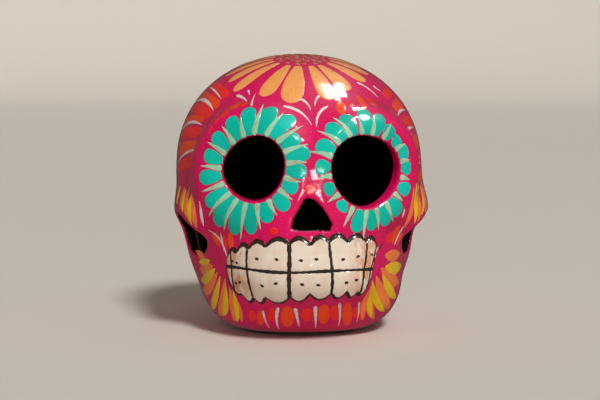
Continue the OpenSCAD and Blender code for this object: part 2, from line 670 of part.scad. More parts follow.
face_shell();
back_shell();
seam_strip();
base_disc();
upper_teeth();
lower_teeth();
tooth_lines();
tooth_dots();
crown_dots();
crown_petals();
forehead_strokes();
brow_dots();
left_eye_petals();
left_eye_rays();
right_eye_petals();
right_eye_rays();
left_temple_band();
right_temple_band();
temple_strokes();
left_cheek_feathers();
right_cheek_feathers();
cheek_strokes();
left_jaw_feathers();
right_jaw_feathers();
chin_beads();
chin_strokes();
nose_dots();
back_flower();
back_flower_eye();
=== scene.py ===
import math

import bmesh
import bpy
import numpy as np
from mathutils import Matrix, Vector

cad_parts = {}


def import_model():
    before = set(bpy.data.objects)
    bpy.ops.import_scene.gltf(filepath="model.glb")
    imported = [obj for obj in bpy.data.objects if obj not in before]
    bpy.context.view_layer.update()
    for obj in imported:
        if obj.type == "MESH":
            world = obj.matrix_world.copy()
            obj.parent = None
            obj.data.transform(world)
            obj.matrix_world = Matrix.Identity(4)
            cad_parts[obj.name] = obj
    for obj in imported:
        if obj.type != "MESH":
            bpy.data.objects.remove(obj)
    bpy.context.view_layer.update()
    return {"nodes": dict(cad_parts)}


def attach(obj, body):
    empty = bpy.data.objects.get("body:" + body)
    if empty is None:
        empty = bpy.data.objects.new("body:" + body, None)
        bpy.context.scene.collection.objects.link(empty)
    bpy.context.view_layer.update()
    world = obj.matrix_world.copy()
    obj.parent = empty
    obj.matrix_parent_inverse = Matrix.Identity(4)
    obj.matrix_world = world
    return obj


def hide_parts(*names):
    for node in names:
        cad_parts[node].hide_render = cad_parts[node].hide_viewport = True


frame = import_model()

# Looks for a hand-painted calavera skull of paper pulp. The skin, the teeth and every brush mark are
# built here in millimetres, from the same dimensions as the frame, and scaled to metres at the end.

MM = 0.001

# ---- camera: the front, a little from the skull's right and from above ----

CAMERA_DISTANCE = 750
CAMERA_AZIMUTH = -5.0
CAMERA_HEIGHT_ANGLE = 5.0
CAMERA_AIM = (0, 0, 62.6)


def way_to(azimuth, elevation):
    """Unit vector out from the skull, at degrees round from straight ahead and degrees up."""
    a, e = math.radians(azimuth), math.radians(elevation)
    return Vector((math.sin(a) * math.cos(e), -math.cos(a) * math.cos(e), math.sin(e)))


def place_camera():
    back = way_to(CAMERA_AZIMUTH, CAMERA_HEIGHT_ANGLE)
    data = bpy.data.cameras.new("camera")
    data.lens = 90
    data.sensor_width = 36
    data.clip_start = 0.05
    cam = bpy.data.objects.new("camera", data)
    cam.location = (Vector(CAMERA_AIM) + CAMERA_DISTANCE * back) * MM
    cam.rotation_euler = (-back).to_track_quat("-Z", "Y").to_euler()
    bpy.context.scene.collection.objects.link(cam)
    bpy.context.scene.camera = cam


place_camera()

# ---- the skin as one smooth field, negative inside, in millimetres ----

MID = np.array([0.0, 8.0, 66.0])
SOFTEN = 4.0
WALL = 5.0
SHELL_LIFT = 1.0
# centre, half sizes, squareness in plan and in height
LUMPS = [
    ((0, 9, 80.4), (61.3, 61, 55), 2.15, 2.12),    # cranium
    ((0, -20, 80), (43, 37.5, 39), 2.2, 2.2),      # brow
    ((0, -32, 55), (34, 31, 22), 2.0, 2.0),        # upper jaw and nose
    ((0, 0, 31), (50, 51, 35), 2.5, 2.8),          # lower jaw
    ((0, -31, 34.5), (36.5, 35, 19), 2.3, 2.4),    # band under the teeth
    ((47, -11, 59.5), (14.5, 24, 14), 2.0, 2.0),   # cheekbones
    ((-47, -11, 59.5), (14.5, 24, 14), 2.0, 2.0),
    ((46, 4, 45), (9, 16, 18), 2.0, 2.0),          # jaw branches
    ((-46, 4, 45), (9, 16, 18), 2.0, 2.0),
]
RING_MID = (26.5, -43, 81)
RING_AXIS = (0.42, -1, -0.03)
RING_R = 20.5
RING_T = 8.0
EYE_X = 27.0
EYE_Y = -53.0
EYE_Z = 81.3
EYE_TURN = 24.0
EYE_TILT = -0.06
# how each socket was cut: turn and dip of the tunnel, where its middle lies from the socket's own, mean
# radius, then how far the rim swells as an oval and as a rounded triangle, each with its direction
LEFT_CUT = (5.0, -0.12, (0.96, 0.69), 14.5, (1.2, 54.0), (0.26, 60.0))
RIGHT_CUT = (24.0, -0.2, (-0.79, -0.68), 17.4, (1.34, -13.0), (0.37, 17.0))
NOSE_W = 9.4
NOSE_Z0 = 53.8
NOSE_Z1 = 68.6
SIDE_HOLE = (15.0, 10.4)
SIDE_AT = (-13.9, 47.8)
SIDE_TILT = -10.0


def unit(v):
    v = np.asarray(v, float)
    return v / np.maximum(np.linalg.norm(v, axis=-1, keepdims=True), 1e-12)


def lump(p, centre, half, n, m):
    q = np.abs((p - np.array(centre)) / np.array(half))
    k0 = ((q[..., 0] ** n + q[..., 1] ** n) ** (m / n) + q[..., 2] ** m) ** (1 / m)
    k2 = np.maximum(np.sqrt((q ** 2).sum(-1)), 1e-4)
    k1 = np.sqrt(((q / np.array(half)) ** 2).sum(-1)) / k2
    return (k0 - 1) / k1


def ring(p, side):
    axis = unit(np.array(RING_AXIS) * (side, 1, 1))
    d = p - np.array(RING_MID) * (side, 1, 1)
    w = d @ axis
    s = np.sqrt(np.maximum((d ** 2).sum(-1) - w ** 2, 0)) - RING_R
    return np.hypot(s, w) - RING_T


def soft_min(parts, k):
    low = np.minimum.reduce(parts)
    return low - k * np.log(sum(np.exp((low - f) / k) for f in parts))


def soft_max(a, b, k):
    return -soft_min([-a, -b], k)


def skin(p):
    parts = [lump(p, *spec) for spec in LUMPS] + [ring(p, 1), ring(p, -1)]
    return soft_max(soft_min(parts, SOFTEN), SHELL_LIFT - p[..., 2], 1.2)


def gradient(f, p, h=0.15):
    cols = []
    for i in range(3):
        step = np.zeros(3)
        step[i] = h
        cols.append((f(p + step) - f(p - step)) / (2 * h))
    return np.stack(cols, -1)


FIRST_REACH = 45.0
LEAST_REACH = 5.0
REACH_STEPS = 14


def on_skin(points, height=0.0, centre=None):
    """Points moved along rays from the middle on to the skin, then out by height, with the normals."""
    points = np.asarray(points, float)
    c = np.broadcast_to(MID, points.shape) if centre is None else centre
    u = unit(points - c)
    r = np.full(points.shape[:-1], FIRST_REACH)
    for _ in range(REACH_STEPS):
        r = np.maximum(LEAST_REACH, r - 0.9 * skin(c + r[..., None] * u))
    q = c + r[..., None] * u
    n = unit(gradient(skin, q))
    return q + n * np.asarray(height)[..., None], n


def level_centre(points):
    """The point of the upright axis through the middle that lies level with each point."""
    zero = np.zeros(points.shape[:-1])
    return np.stack([zero, zero + MID[1], points[..., 2]], -1)


# guides: azimuth and elevation from the middle, azimuth and height, and polars of crown and sockets

CROWN_TILT = 14.0
GUIDE_R = 60.0


def by_angle(a, e):
    a, e = np.radians(a), np.radians(e)
    return MID + GUIDE_R * np.array([np.cos(e) * np.sin(a), -np.cos(e) * np.cos(a), np.sin(e)])


def by_height(a, z):
    a = np.radians(a)
    return np.stack(np.broadcast_arrays(GUIDE_R * np.sin(a), MID[1] - GUIDE_R * np.cos(a), z), -1)


def by_crown(b, d):
    t, b, d = np.radians(CROWN_TILT), np.radians(b), np.radians(d)
    up = np.array([0, -np.sin(t), np.cos(t)])
    ahead = np.array([0, -np.cos(t), -np.sin(t)])
    level = np.cos(b) * ahead + np.sin(b) * np.array([1, 0, 0])
    return MID + GUIDE_R * (np.cos(d) * up + np.sin(d) * level)


def eye_frame(side, turn=EYE_TURN, dip=EYE_TILT):
    """Middle of a socket, the way it faces, and its own across and up; side is -1 or 1."""
    t = np.radians(turn)
    axis = unit([side * np.sin(t), -np.cos(t), dip])
    across = unit([np.cos(t), side * np.sin(t), 0])
    up = np.cross(across, axis)
    up = -up if up[2] < 0 else up
    return np.array([side * EYE_X, EYE_Y, EYE_Z]), axis, across, up


def rim_radius(cut, angle):
    """Radius of a socket's cut at an angle in radians round its middle."""
    _, _, _, mean, (oval, oval_at), (three, three_at) = cut
    return (mean + oval * np.cos(2 * (angle - math.radians(oval_at)))
            + three * np.cos(3 * (angle - math.radians(three_at))))


def by_eye(side, a, r):
    mid, _, across, up = eye_frame(side)
    a = np.radians(a)
    return mid + r * (np.cos(a) * across + np.sin(a) * up)


# ---- the openings, and the wall they are cut through ----

NOSE = [
    (-NOSE_W - 0.4, 0.03), (-0.94, 0), (0.85 * NOSE_W, 0.01), (NOSE_W, 0.18), (0.8 * NOSE_W, 0.42),
    (0.52 * NOSE_W, 0.7), (0.14 * NOSE_W, 0.94), (-0.2 * NOSE_W, 1), (-0.36 * NOSE_W, 0.94),
    (-0.56 * NOSE_W, 0.72), (-0.9 * NOSE_W, 0.36)
]


def ripple(x, y, seed):
    """Cheap smooth noise of about -1 to 1 from a few crossed waves."""
    rng = np.random.default_rng(seed)
    total = 0
    for _ in range(6):
        a, b, c = rng.uniform(-1, 1, 3) * (2.2, 2.2, 3.1)
        total = total + np.sin(a * x + b * y + 3 * c)
    return total / 3


SOCKET_DEPTH = 30


def socket(p, side):
    """Distance outside a socket's tunnel, which ends inside the hollow."""
    cut = LEFT_CUT if side < 0 else RIGHT_CUT
    mid, axis, across, up = eye_frame(side, cut[0], cut[1])
    d = p - mid
    x, y, w = d @ across - cut[2][0], d @ up - cut[2][1], d @ axis
    return np.where(w < -SOCKET_DEPTH, 5.0, np.hypot(x, y) - rim_radius(cut, np.arctan2(y, x)))


def socket_edge(side, a):
    """Distance from the socket's own middle to its rim on the skin, in the direction a in degrees."""
    r = 17.0
    for _ in range(12):
        p, _ = on_skin(np.stack([by_eye(side, a, r), by_eye(side, a, r + 0.5)]))
        f = socket(p, side)
        r = r - f[0] * 0.5 / max(f[1] - f[0], 0.1)
    return r


def nose(p):
    """Distance outside the nose opening, whose foot is torn."""
    corners = np.array([(x, NOSE_Z0 + t * (NOSE_Z1 - NOSE_Z0)) for x, t in NOSE])
    q = p[..., [0, 2]]
    near = np.full(q.shape[:-1], 1e9)
    inside = np.zeros(q.shape[:-1], bool)
    for a, b in zip(corners, np.roll(corners, -1, axis=0)):
        e, w = b - a, q - a
        near = np.minimum(near, ((w - e * np.clip((w @ e) / (e @ e), 0, 1)[..., None]) ** 2).sum(-1))
        cross = (a[1] > q[..., 1]) != (b[1] > q[..., 1])
        inside ^= cross & (q[..., 0] < e[0] * (q[..., 1] - a[1]) / (e[1] if e[1] else 1e-9) + a[0])
    out = np.where(inside, -1, 1) * np.sqrt(near)
    torn = 0.55 * np.clip((NOSE_Z0 + 5 - p[..., 2]) / 5, 0, 1)
    out = out + torn * ripple(1.6 * p[..., 0], 1.1 * p[..., 1], 3)
    return np.where(p[..., 1] > -30, 9.0, out)


def cheek_gap(p, side):
    """Distance outside the oval opening under a cheekbone."""
    t = math.radians(SIDE_TILT)
    y, z = p[..., 1] - SIDE_AT[0], p[..., 2] - SIDE_AT[1]
    long = y * math.cos(t) + z * math.sin(t)
    tall = -y * math.sin(t) + z * math.cos(t)
    out = (np.hypot(long / SIDE_HOLE[0], tall / SIDE_HOLE[1]) - 1) * SIDE_HOLE[1]
    return np.where(side * p[..., 0] > 20, out, 30.0)


SOCKET_EDGE = 0.55
GAP_EDGE = 0.7


def shell(p):
    """The pierced wall, with the edges of its openings rounded."""
    f = skin(p)
    f = np.maximum(f, -WALL - f)
    for side in (-1, 1):
        f = soft_max(f, -socket(p, side), SOCKET_EDGE)
        f = soft_max(f, -cheek_gap(p, side), GAP_EDGE)
    return soft_max(f, -nose(p), GAP_EDGE)


# ---- meshing: surface nets over a grid, then pulled exactly on to the field ----

CELL = 0.8


def sample_grid(f, low, high, cell):
    """Values of f on a grid. Blocks far from the surface get one value each."""
    block = 4
    n = (np.ceil((high - low) / cell / block).astype(int) + 1) * block
    axes = [low[i] + cell * np.arange(n[i]) for i in range(3)]
    middles = [a.reshape(-1, block).mean(1) for a in axes]
    coarse = f(np.stack(np.meshgrid(*middles, indexing="ij"), -1))
    near = np.abs(coarse) < 1.6 * block * cell
    values = np.repeat(np.repeat(np.repeat(coarse, block, 0), block, 1), block, 2)
    mask = np.repeat(np.repeat(np.repeat(near, block, 0), block, 1), block, 2)
    i, j, k = np.nonzero(mask)
    values[i, j, k] = f(np.stack([axes[0][i], axes[1][j], axes[2][k]], -1))
    return values


def surface_net(f, low, high, cell):
    """A mesh of quads with one point in each grid cell that the surface crosses."""
    v = sample_grid(f, low, high, cell)
    neg = v < 0
    corner = [(a, b, c) for a in (0, 1) for b in (0, 1) for c in (0, 1)]

    def part(arr, o):
        return arr[o[0]:arr.shape[0] - 1 + o[0], o[1]:arr.shape[1] - 1 + o[1], o[2]:arr.shape[2] - 1 + o[2]]

    count = sum(part(neg, o).astype(np.int8) for o in corner)
    cells = np.argwhere((count > 0) & (count < 8))
    index = np.full(count.shape, -1)
    index[tuple(cells.T)] = np.arange(len(cells))
    total = np.zeros((len(cells), 3))
    hits = np.zeros(len(cells))
    for o in corner:
        for axis in range(3):
            if o[axis]:
                continue
            e = list(o)
            e[axis] = 1
            a = v[tuple((cells + o).T)]
            b = v[tuple((cells + e).T)]
            cut = (a < 0) != (b < 0)
            t = np.where(cut, a / np.where(cut, a - b, 1), 0)
            p = np.array(o, float) + np.zeros((len(cells), 3))
            p[:, axis] = t
            total += np.where(cut[:, None], p, 0)
            hits += cut
    verts = low + cell * (cells + total / hits[:, None])
    faces = []
    for axis in range(3):
        u, w = [(1, 2), (2, 0), (0, 1)][axis]
        lo, hi = [slice(1, -1)] * 3, [slice(1, -1)] * 3
        lo[axis], hi[axis] = slice(0, -1), slice(1, None)
        a, b = neg[tuple(lo)], neg[tuple(hi)]
        edge = np.argwhere(a != b)
        flip = a[tuple(edge.T)]
        base = edge.copy()
        base[:, u] += 1
        base[:, w] += 1
        du, dw = np.eye(3, dtype=int)[u], np.eye(3, dtype=int)[w]
        corners = [base - s * du - r * dw for s, r in ((1, 1), (0, 1), (0, 0), (1, 0))]
        quad = np.stack([index[tuple(c.T)] for c in corners], 1)
        faces.append(np.where(flip[:, None], quad, quad[:, ::-1]))
    return verts, np.concatenate(faces)


def settle(f, p):
    """Points moved on to the zero of the field by a few short steps."""
    for _ in range(3):
        g = gradient(f, p, 0.05)
        p = p - np.clip(f(p), -0.4, 0.4)[:, None] * g / np.maximum((g ** 2).sum(-1), 0.25)[:, None]
    return p


def make_mesh(name, verts, faces):
    mesh = bpy.data.meshes.new(name)
    mesh.from_pydata((np.asarray(verts) * MM).tolist(), [], np.asarray(faces).tolist())
    mesh.validate()
    mesh.shade_smooth()
    return mesh


def slab_faces(n, m, start=0):
    """Quads of a closed slab: n rows of m points on top, counted from start, then as many below."""
    a = np.arange(n * m).reshape(n, m) + start
    b = a + n * m
    quads = [np.stack([a[:-1, :-1], a[:-1, 1:], a[1:, 1:], a[1:, :-1]], -1),
             np.stack([b[:-1, :-1], b[1:, :-1], b[1:, 1:], b[:-1, 1:]], -1)]
    for k, flip in ((0, False), (-1, True)):
        rail = np.stack([a[:-1, k], a[1:, k], b[1:, k], b[:-1, k]], -1)
        end = np.stack([a[k, 1:], a[k, :-1], b[k, :-1], b[k, 1:]], -1)
        quads += [rail[:, ::-1], end[:, ::-1]] if flip else [rail, end]
    return np.concatenate([q.reshape(-1, 4) for q in quads])


def add_piece(name, mesh, materials, node):
    piece = bpy.data.objects.new(name, mesh)
    bpy.context.scene.collection.objects.link(piece)
    for m in materials:
        mesh.materials.append(m)
    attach(piece, "root")
    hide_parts(node)
    return piece


# ---- materials ----


def linear(r, g, b):
    """An sRGB colour given as 0 to 255, as linear RGBA."""
    def one(c):
        c /= 255
        return c / 12.92 if c <= 0.04045 else ((c + 0.055) / 1.055) ** 2.4
    return (one(r), one(g), one(b), 1)


class Shader:
    """A Principled material with short calls for the nodes that vary its colour, roughness and bump."""

    def __init__(self, name, rough=0.4, coat=1.0, coat_rough=0.045, specular=0.12):
        self.material = bpy.data.materials.new(name)
        self.material.use_nodes = True
        self.tree = self.material.node_tree
        self.main = self.tree.nodes["Principled BSDF"]
        for key, value in (("Roughness", rough), ("Coat Weight", coat), ("Coat Roughness", coat_rough),
                           ("Coat IOR", 1.42), ("Specular IOR Level", specular)):
            self.main.inputs[key].default_value = value
        self.place = self.node("ShaderNodeTexCoord").outputs["Object"]
        self.height = None

    def node(self, kind, **values):
        made = self.tree.nodes.new(kind)
        for key, value in values.items():
            setattr(made, key, value)
        return made

    def link(self, a, b):
        self.tree.links.new(a, b)

    def attribute(self, name):
        return self.node("ShaderNodeAttribute", attribute_name=name).outputs["Vector"]

    def stretch(self, vector, x, y, z):
        made = self.node("ShaderNodeVectorMath", operation="MULTIPLY")
        self.feed(made, {0: vector, 1: (x, y, z)})
        return made.outputs[0]

    def noise(self, size, detail=3.0, rough=0.5, vector=None, warp=0.0):
        """Noise with features of about size millimetres, spread from 0 to 1. With a vector of its own,
        size is in that vector's units."""
        made = self.node("ShaderNodeTexNoise")
        self.link(vector or self.place, made.inputs["Vector"])
        for key, value in (("Scale", (1 if vector else 1000) / size), ("Detail", detail),
                           ("Roughness", rough), ("Distortion", warp)):
            made.inputs[key].default_value = value
        return self.spread(made.outputs[0], 0.3, 0.7, 0, 1)

    def spread(self, value, a, b, low, high):
        """A value of a to b mapped to low to high, and held at those beyond."""
        made = self.node("ShaderNodeMapRange")
        self.feed(made, {0: value, 1: a, 2: b, 3: low, 4: high})
        return made.outputs[0]

    def feed(self, made, values):
        """Sets each numbered input to a plain value, or links a node's output to it."""
        for i, value in values.items():
            if isinstance(value, (int, float, tuple)):
                made.inputs[i].default_value = value
            else:
                self.link(value, made.inputs[i])

    def math(self, operation, a, b=0.0):
        made = self.node("ShaderNodeMath", operation=operation)
        self.feed(made, {0: a, 1: b})
        return made.outputs[0]

    def part(self, vector, axis):
        made = self.node("ShaderNodeSeparateXYZ")
        self.link(vector, made.inputs[0])
        return made.outputs[axis]

    def mix(self, share, a, b):
        made = self.node("ShaderNodeMix", data_type="RGBA")
        self.feed(made, {0: share, 6: a, 7: b})
        return made.outputs[2]

    def colour(self, value):
        self.link(value, self.main.inputs["Base Color"])

    def rough(self, value):
        self.link(value, self.main.inputs["Roughness"])

    def bump(self, value, depth):
        """Adds relief: depth in millimetres for a height of one."""
        made = self.node("ShaderNodeBump")
        made.inputs["Strength"].default_value = 1.0
        made.inputs["Distance"].default_value = depth * MM
        self.link(value, made.inputs["Height"])
        if self.height:
            self.link(self.height, made.inputs["Normal"])
        self.height = made.outputs[0]
        self.link(self.height, self.main.inputs["Normal"])
        self.link(self.height, self.main.inputs["Coat Normal"])


MAGENTA = linear(226, 10, 92)
MAGENTA_DEEP = linear(196, 5, 72)
MAGENTA_THIN = linear(224, 24, 106)


def uneven_skin(s):
    """The hand-laid paper under the varnish: slow dents, finer lumps and dried brush marks."""
    s.bump(s.noise(17, 2), 0.16)
    s.bump(s.noise(4.5, 3), 0.028)
    s.bump(s.noise(0.9, 2), 0.0022)


def lacquer():
    """Magenta varnish over brushed paint: slow blotches, fine strokes and a few pale specks."""
    s = Shader("magenta_lacquer", rough=0.42)
    blotch = s.noise(26, 3, 0.55)
    strokes = s.noise(1, 4, 0.6, s.stretch(s.place, 900, 120, 260), warp=0.4)
    base = s.mix(s.math("MULTIPLY", blotch, 0.55), MAGENTA, MAGENTA_DEEP)
    base = s.mix(s.math("MULTIPLY", strokes, 0.22), base, MAGENTA_THIN)
    specks = s.noise(0.8, 1)
    base = s.mix(s.spread(specks, 0.93, 1.0, 0, 0.25), base, linear(240, 110, 150))
    s.colour(base)
    s.rough(s.spread(strokes, 0, 1, 0.36, 0.5))
    uneven_skin(s)
    return s.material


def painted_shade_inside():
    """Near-black painted shade standing in for the unlit hollow and the deeper cut faces of its openings,
    with a bare-paper fibre bump.
    """
    s = Shader("painted_shade_inside", rough=0.95, coat=0.0, specular=0.1)
    fibre = s.noise(3, 5, 0.7)
    s.colour(s.mix(fibre, linear(12, 5, 5), linear(28, 15, 12)))
    s.bump(fibre, 0.25)
    return s.material


def torn_pulp():
    """Bare pulp along the torn foot of the nose, washed with thin paint."""
    s = Shader("torn_pulp", rough=0.8, coat=0.25, coat_rough=0.3)
    fibre = s.noise(0.7, 5, 0.75, warp=0.8)
    wash = s.noise(2.2, 3)
    bare = s.mix(fibre, linear(150, 105, 115), linear(214, 150, 165))
    s.colour(s.mix(s.math("MULTIPLY", wash, 0.75), bare, linear(190, 40, 95)))
    s.bump(fibre, 0.2)
    return s.material


def kraft():
    """Plain pasted paper of the base and of the strip inside the seam."""
    s = Shader("kraft_paper", rough=0.85, coat=0.0)
    fibre = s.noise(1, 5, 0.7, s.stretch(s.place, 1400, 260, 400), warp=0.6)
    blotch = s.noise(14, 3)
    s.colour(s.mix(blotch, s.mix(fibre, linear(58, 44, 36), linear(96, 76, 60)), linear(70, 50, 44)))
    s.rough(s.spread(fibre, 0, 1, 0.75, 0.95))
    s.bump(fibre, 0.08)
    return s.material


def paint(name, bright, deep, cover=0.93, under=MAGENTA_DEEP):
    """Brushed paint: streaks run along each mark, its ground shows through where it is thin."""
    s = Shader(name)
    bright, deep = linear(*bright), linear(*deep)
    brush = s.attribute("brush")
    share = s.attribute("share")
    streaks = s.noise(1, 3, 0.6, s.stretch(brush, 0.16, 1.9, 7.3), warp=0.5)
    patches = s.noise(1, 2, 0.5, s.stretch(brush, 0.28, 0.35, 3.1))
    tone = s.part(share, 2)
    across = s.math("ABSOLUTE", s.part(share, 1))
    depth = s.math("ADD", s.math("MULTIPLY", streaks, 0.5), s.math("MULTIPLY", tone, 0.35))
    colour = s.mix(s.math("MULTIPLY", depth, 0.9), bright, deep)
    edge = s.spread(across, 0.72, 1.0, 0, 0.22)
    worn = s.math("ADD", patches, s.math("MULTIPLY", streaks, 0.6))
    thin = s.math("MULTIPLY", s.spread(worn, 0.75, 1.5, 0, 1), 2.2 * (1 - cover))
    s.colour(s.mix(s.math("MINIMUM", s.math("ADD", edge, thin), 0.85), colour, under))
    s.rough(s.spread(streaks, 0, 1, 0.34, 0.48))
    uneven_skin(s)
    s.bump(streaks, 0.012)
    return s.material


def tooth_paint():
    """Warm white, washed in bands, with a painted orange reflection in patches towards both ends of the row.
    """
    s = Shader("tooth_paint", rough=0.38)
    wash = s.noise(1, 3, 0.55, s.stretch(s.place, 150, 150, 55), warp=0.6)
    bands = s.noise(1, 2, 0.5, s.stretch(s.place, 40, 40, 700), warp=0.3)
    base = s.mix(wash, linear(236, 224, 208), linear(226, 204, 184))
    base = s.mix(s.math("MULTIPLY", bands, 0.25), base, linear(232, 190, 164))
    # painted reflection: the white turns brown-orange in patches towards both ends of the row
    side = s.math("ABSOLUTE", s.math("ADD", s.part(s.place, 0), 0.004))
    patchy = s.spread(s.noise(1, 3, 0.6, s.stretch(s.place, 330, 200, 90), warp=0.5), 0.35, 0.62, 0, 1)
    painted_orange_reflection = s.math("MULTIPLY", s.spread(side, 0.021, 0.029, 0, 1), patchy)
    base = s.mix(s.math("MULTIPLY", painted_orange_reflection, 0.8), base, linear(216, 136, 84))
    s.colour(base)
    s.rough(s.spread(wash, 0, 1, 0.3, 0.45))
    uneven_skin(s)
    s.bump(bands, 0.01)
    return s.material


def ink():
    """Watery black outline: darker where it pooled along the edges, grey-brown between."""
    s = Shader("ink_line", rough=0.4)
    brush = s.attribute("brush")
    share = s.attribute("share")
    across = s.math("ABSOLUTE", s.part(share, 1))
    streaks = s.noise(1, 3, 0.6, s.stretch(brush, 0.3, 1.6, 5.1), warp=0.6)
    body = s.mix(streaks, linear(66, 52, 42), linear(38, 27, 22))
    s.colour(s.mix(s.spread(across, 0.45, 0.95, 0, 0.85), body, linear(26, 16, 13)))
    s.rough(s.spread(streaks, 0, 1, 0.32, 0.46))
    uneven_skin(s)
    return s.material


# ---- shells ----

NET_LOW = np.array([-66.0, -70.0, -1.0])
NET_HIGH = np.array([66.0, 74.0, 139.0])
# depths below the skin to which varnish runs: through an edge, just inside a gap, just inside the nose;
# deeper faces take the near-black painted shade
VARNISH_EDGE = 4.4
VARNISH_GAP = 1.2
VARNISH_NOSE = 1.4


def shell_materials(middles):
    """Which material each face takes: 0 varnish, 1 near-black painted shade of the hollow, 2 torn pulp."""
    x, y, z = middles.T
    depth = skin(middles)
    torn = (np.abs(z - NOSE_Z0 + 0.3) < 1.3) & (np.abs(x) < NOSE_W - 0.5) & (y < -40) & (depth < -0.7)
    painted = np.where(np.abs(x) > 40, -VARNISH_GAP, -VARNISH_EDGE)
    painted = np.where((z < NOSE_Z1 + 3) & (np.abs(x) < NOSE_W + 4), -VARNISH_NOSE, painted)
    at_socket = (np.abs(socket(middles, 1)) < 4) | (np.abs(socket(middles, -1)) < 4)
    painted = np.where(at_socket, -VARNISH_EDGE, painted)
    return np.where(depth < painted, 1, np.where(torn, 2, 0))


def split_shell():
    """One skin of the whole hollow skull, cut at the seam into a closed face half and back half."""
    verts, quads = surface_net(shell, NET_LOW, NET_HIGH, CELL)
    verts = settle(shell, verts)
    for name, node, sign in (("face_shell_skin", "face_shell", -1), ("back_shell_skin", "back_shell", 1)):
        mesh = make_mesh(name, verts, quads)
        work = bmesh.new()
        work.from_mesh(mesh)
        everything = work.verts[:] + work.edges[:] + work.faces[:]
        cut = bmesh.ops.bisect_plane(work, geom=everything, plane_co=(0, MID[1] * MM, 0), dist=1e-7,
                                     plane_no=(0, -sign, 0), clear_outer=True)
        rim = [e for e in cut["geom_cut"] if isinstance(e, bmesh.types.BMEdge)]
        bmesh.ops.triangle_fill(work, edges=rim, use_beauty=True, use_dissolve=False)
        bmesh.ops.recalc_face_normals(work, faces=work.faces[:])
        work.to_mesh(mesh)
        work.free()
        middles = np.array([f.center for f in mesh.polygons]) / MM
        index = shell_materials(middles)
        seam = np.abs(middles[:, 1] - MID[1]) < 1e-3
        index[seam] = 1
        mesh.materials.clear()
        add_piece(name, mesh, [LACQUER, INSIDE, PULP], node)
        mesh.polygons.foreach_set("material_index", index.astype(np.int32))
        mesh.polygons.foreach_set("use_smooth", ~seam)
        mesh.update()


# ---- brush marks ----

# spacing of the points along a mark, and how many lie across it
STATION = 0.55
ACROSS = 9
SINK = 0.2
BLUNT = 2.4


def outline(kind, t, blunt=BLUNT):
    """Share of the full width at t, 0 at the root to 1 at the tip."""
    if kind == "petal":
        rise = 0.42 + 0.58 * np.sin(np.pi / 2 * np.minimum(1, t / 0.62))
        return rise * np.maximum(0, 1 - np.maximum(0, (t - 0.62) / 0.38) ** blunt) ** 0.5
    if kind == "drop":
        rise = 0.3 + 0.7 * np.sin(np.pi / 2 * np.minimum(1, t / 0.78))
        return rise * np.maximum(0, 1 - np.maximum(0, (t - 0.7) / 0.3) ** blunt) ** 0.5
    if kind == "leaf":
        return np.maximum(0.02, np.sin(np.pi * t)) ** 0.75
    if kind == "ray":
        return (1 - 0.9 * t) * np.minimum(1, 0.55 + 6 * t) * np.minimum(1, 14 * (1 - t))
    if kind == "comma":
        return np.minimum(1, 9 * t) ** 0.5 * (1 - t) ** 0.62
    if kind == "oval":
        return np.sqrt(np.maximum(0, 1 - (2 * t - 1) ** 2))
    return (1 - np.abs(2 * t - 1) ** 7) ** 0.5


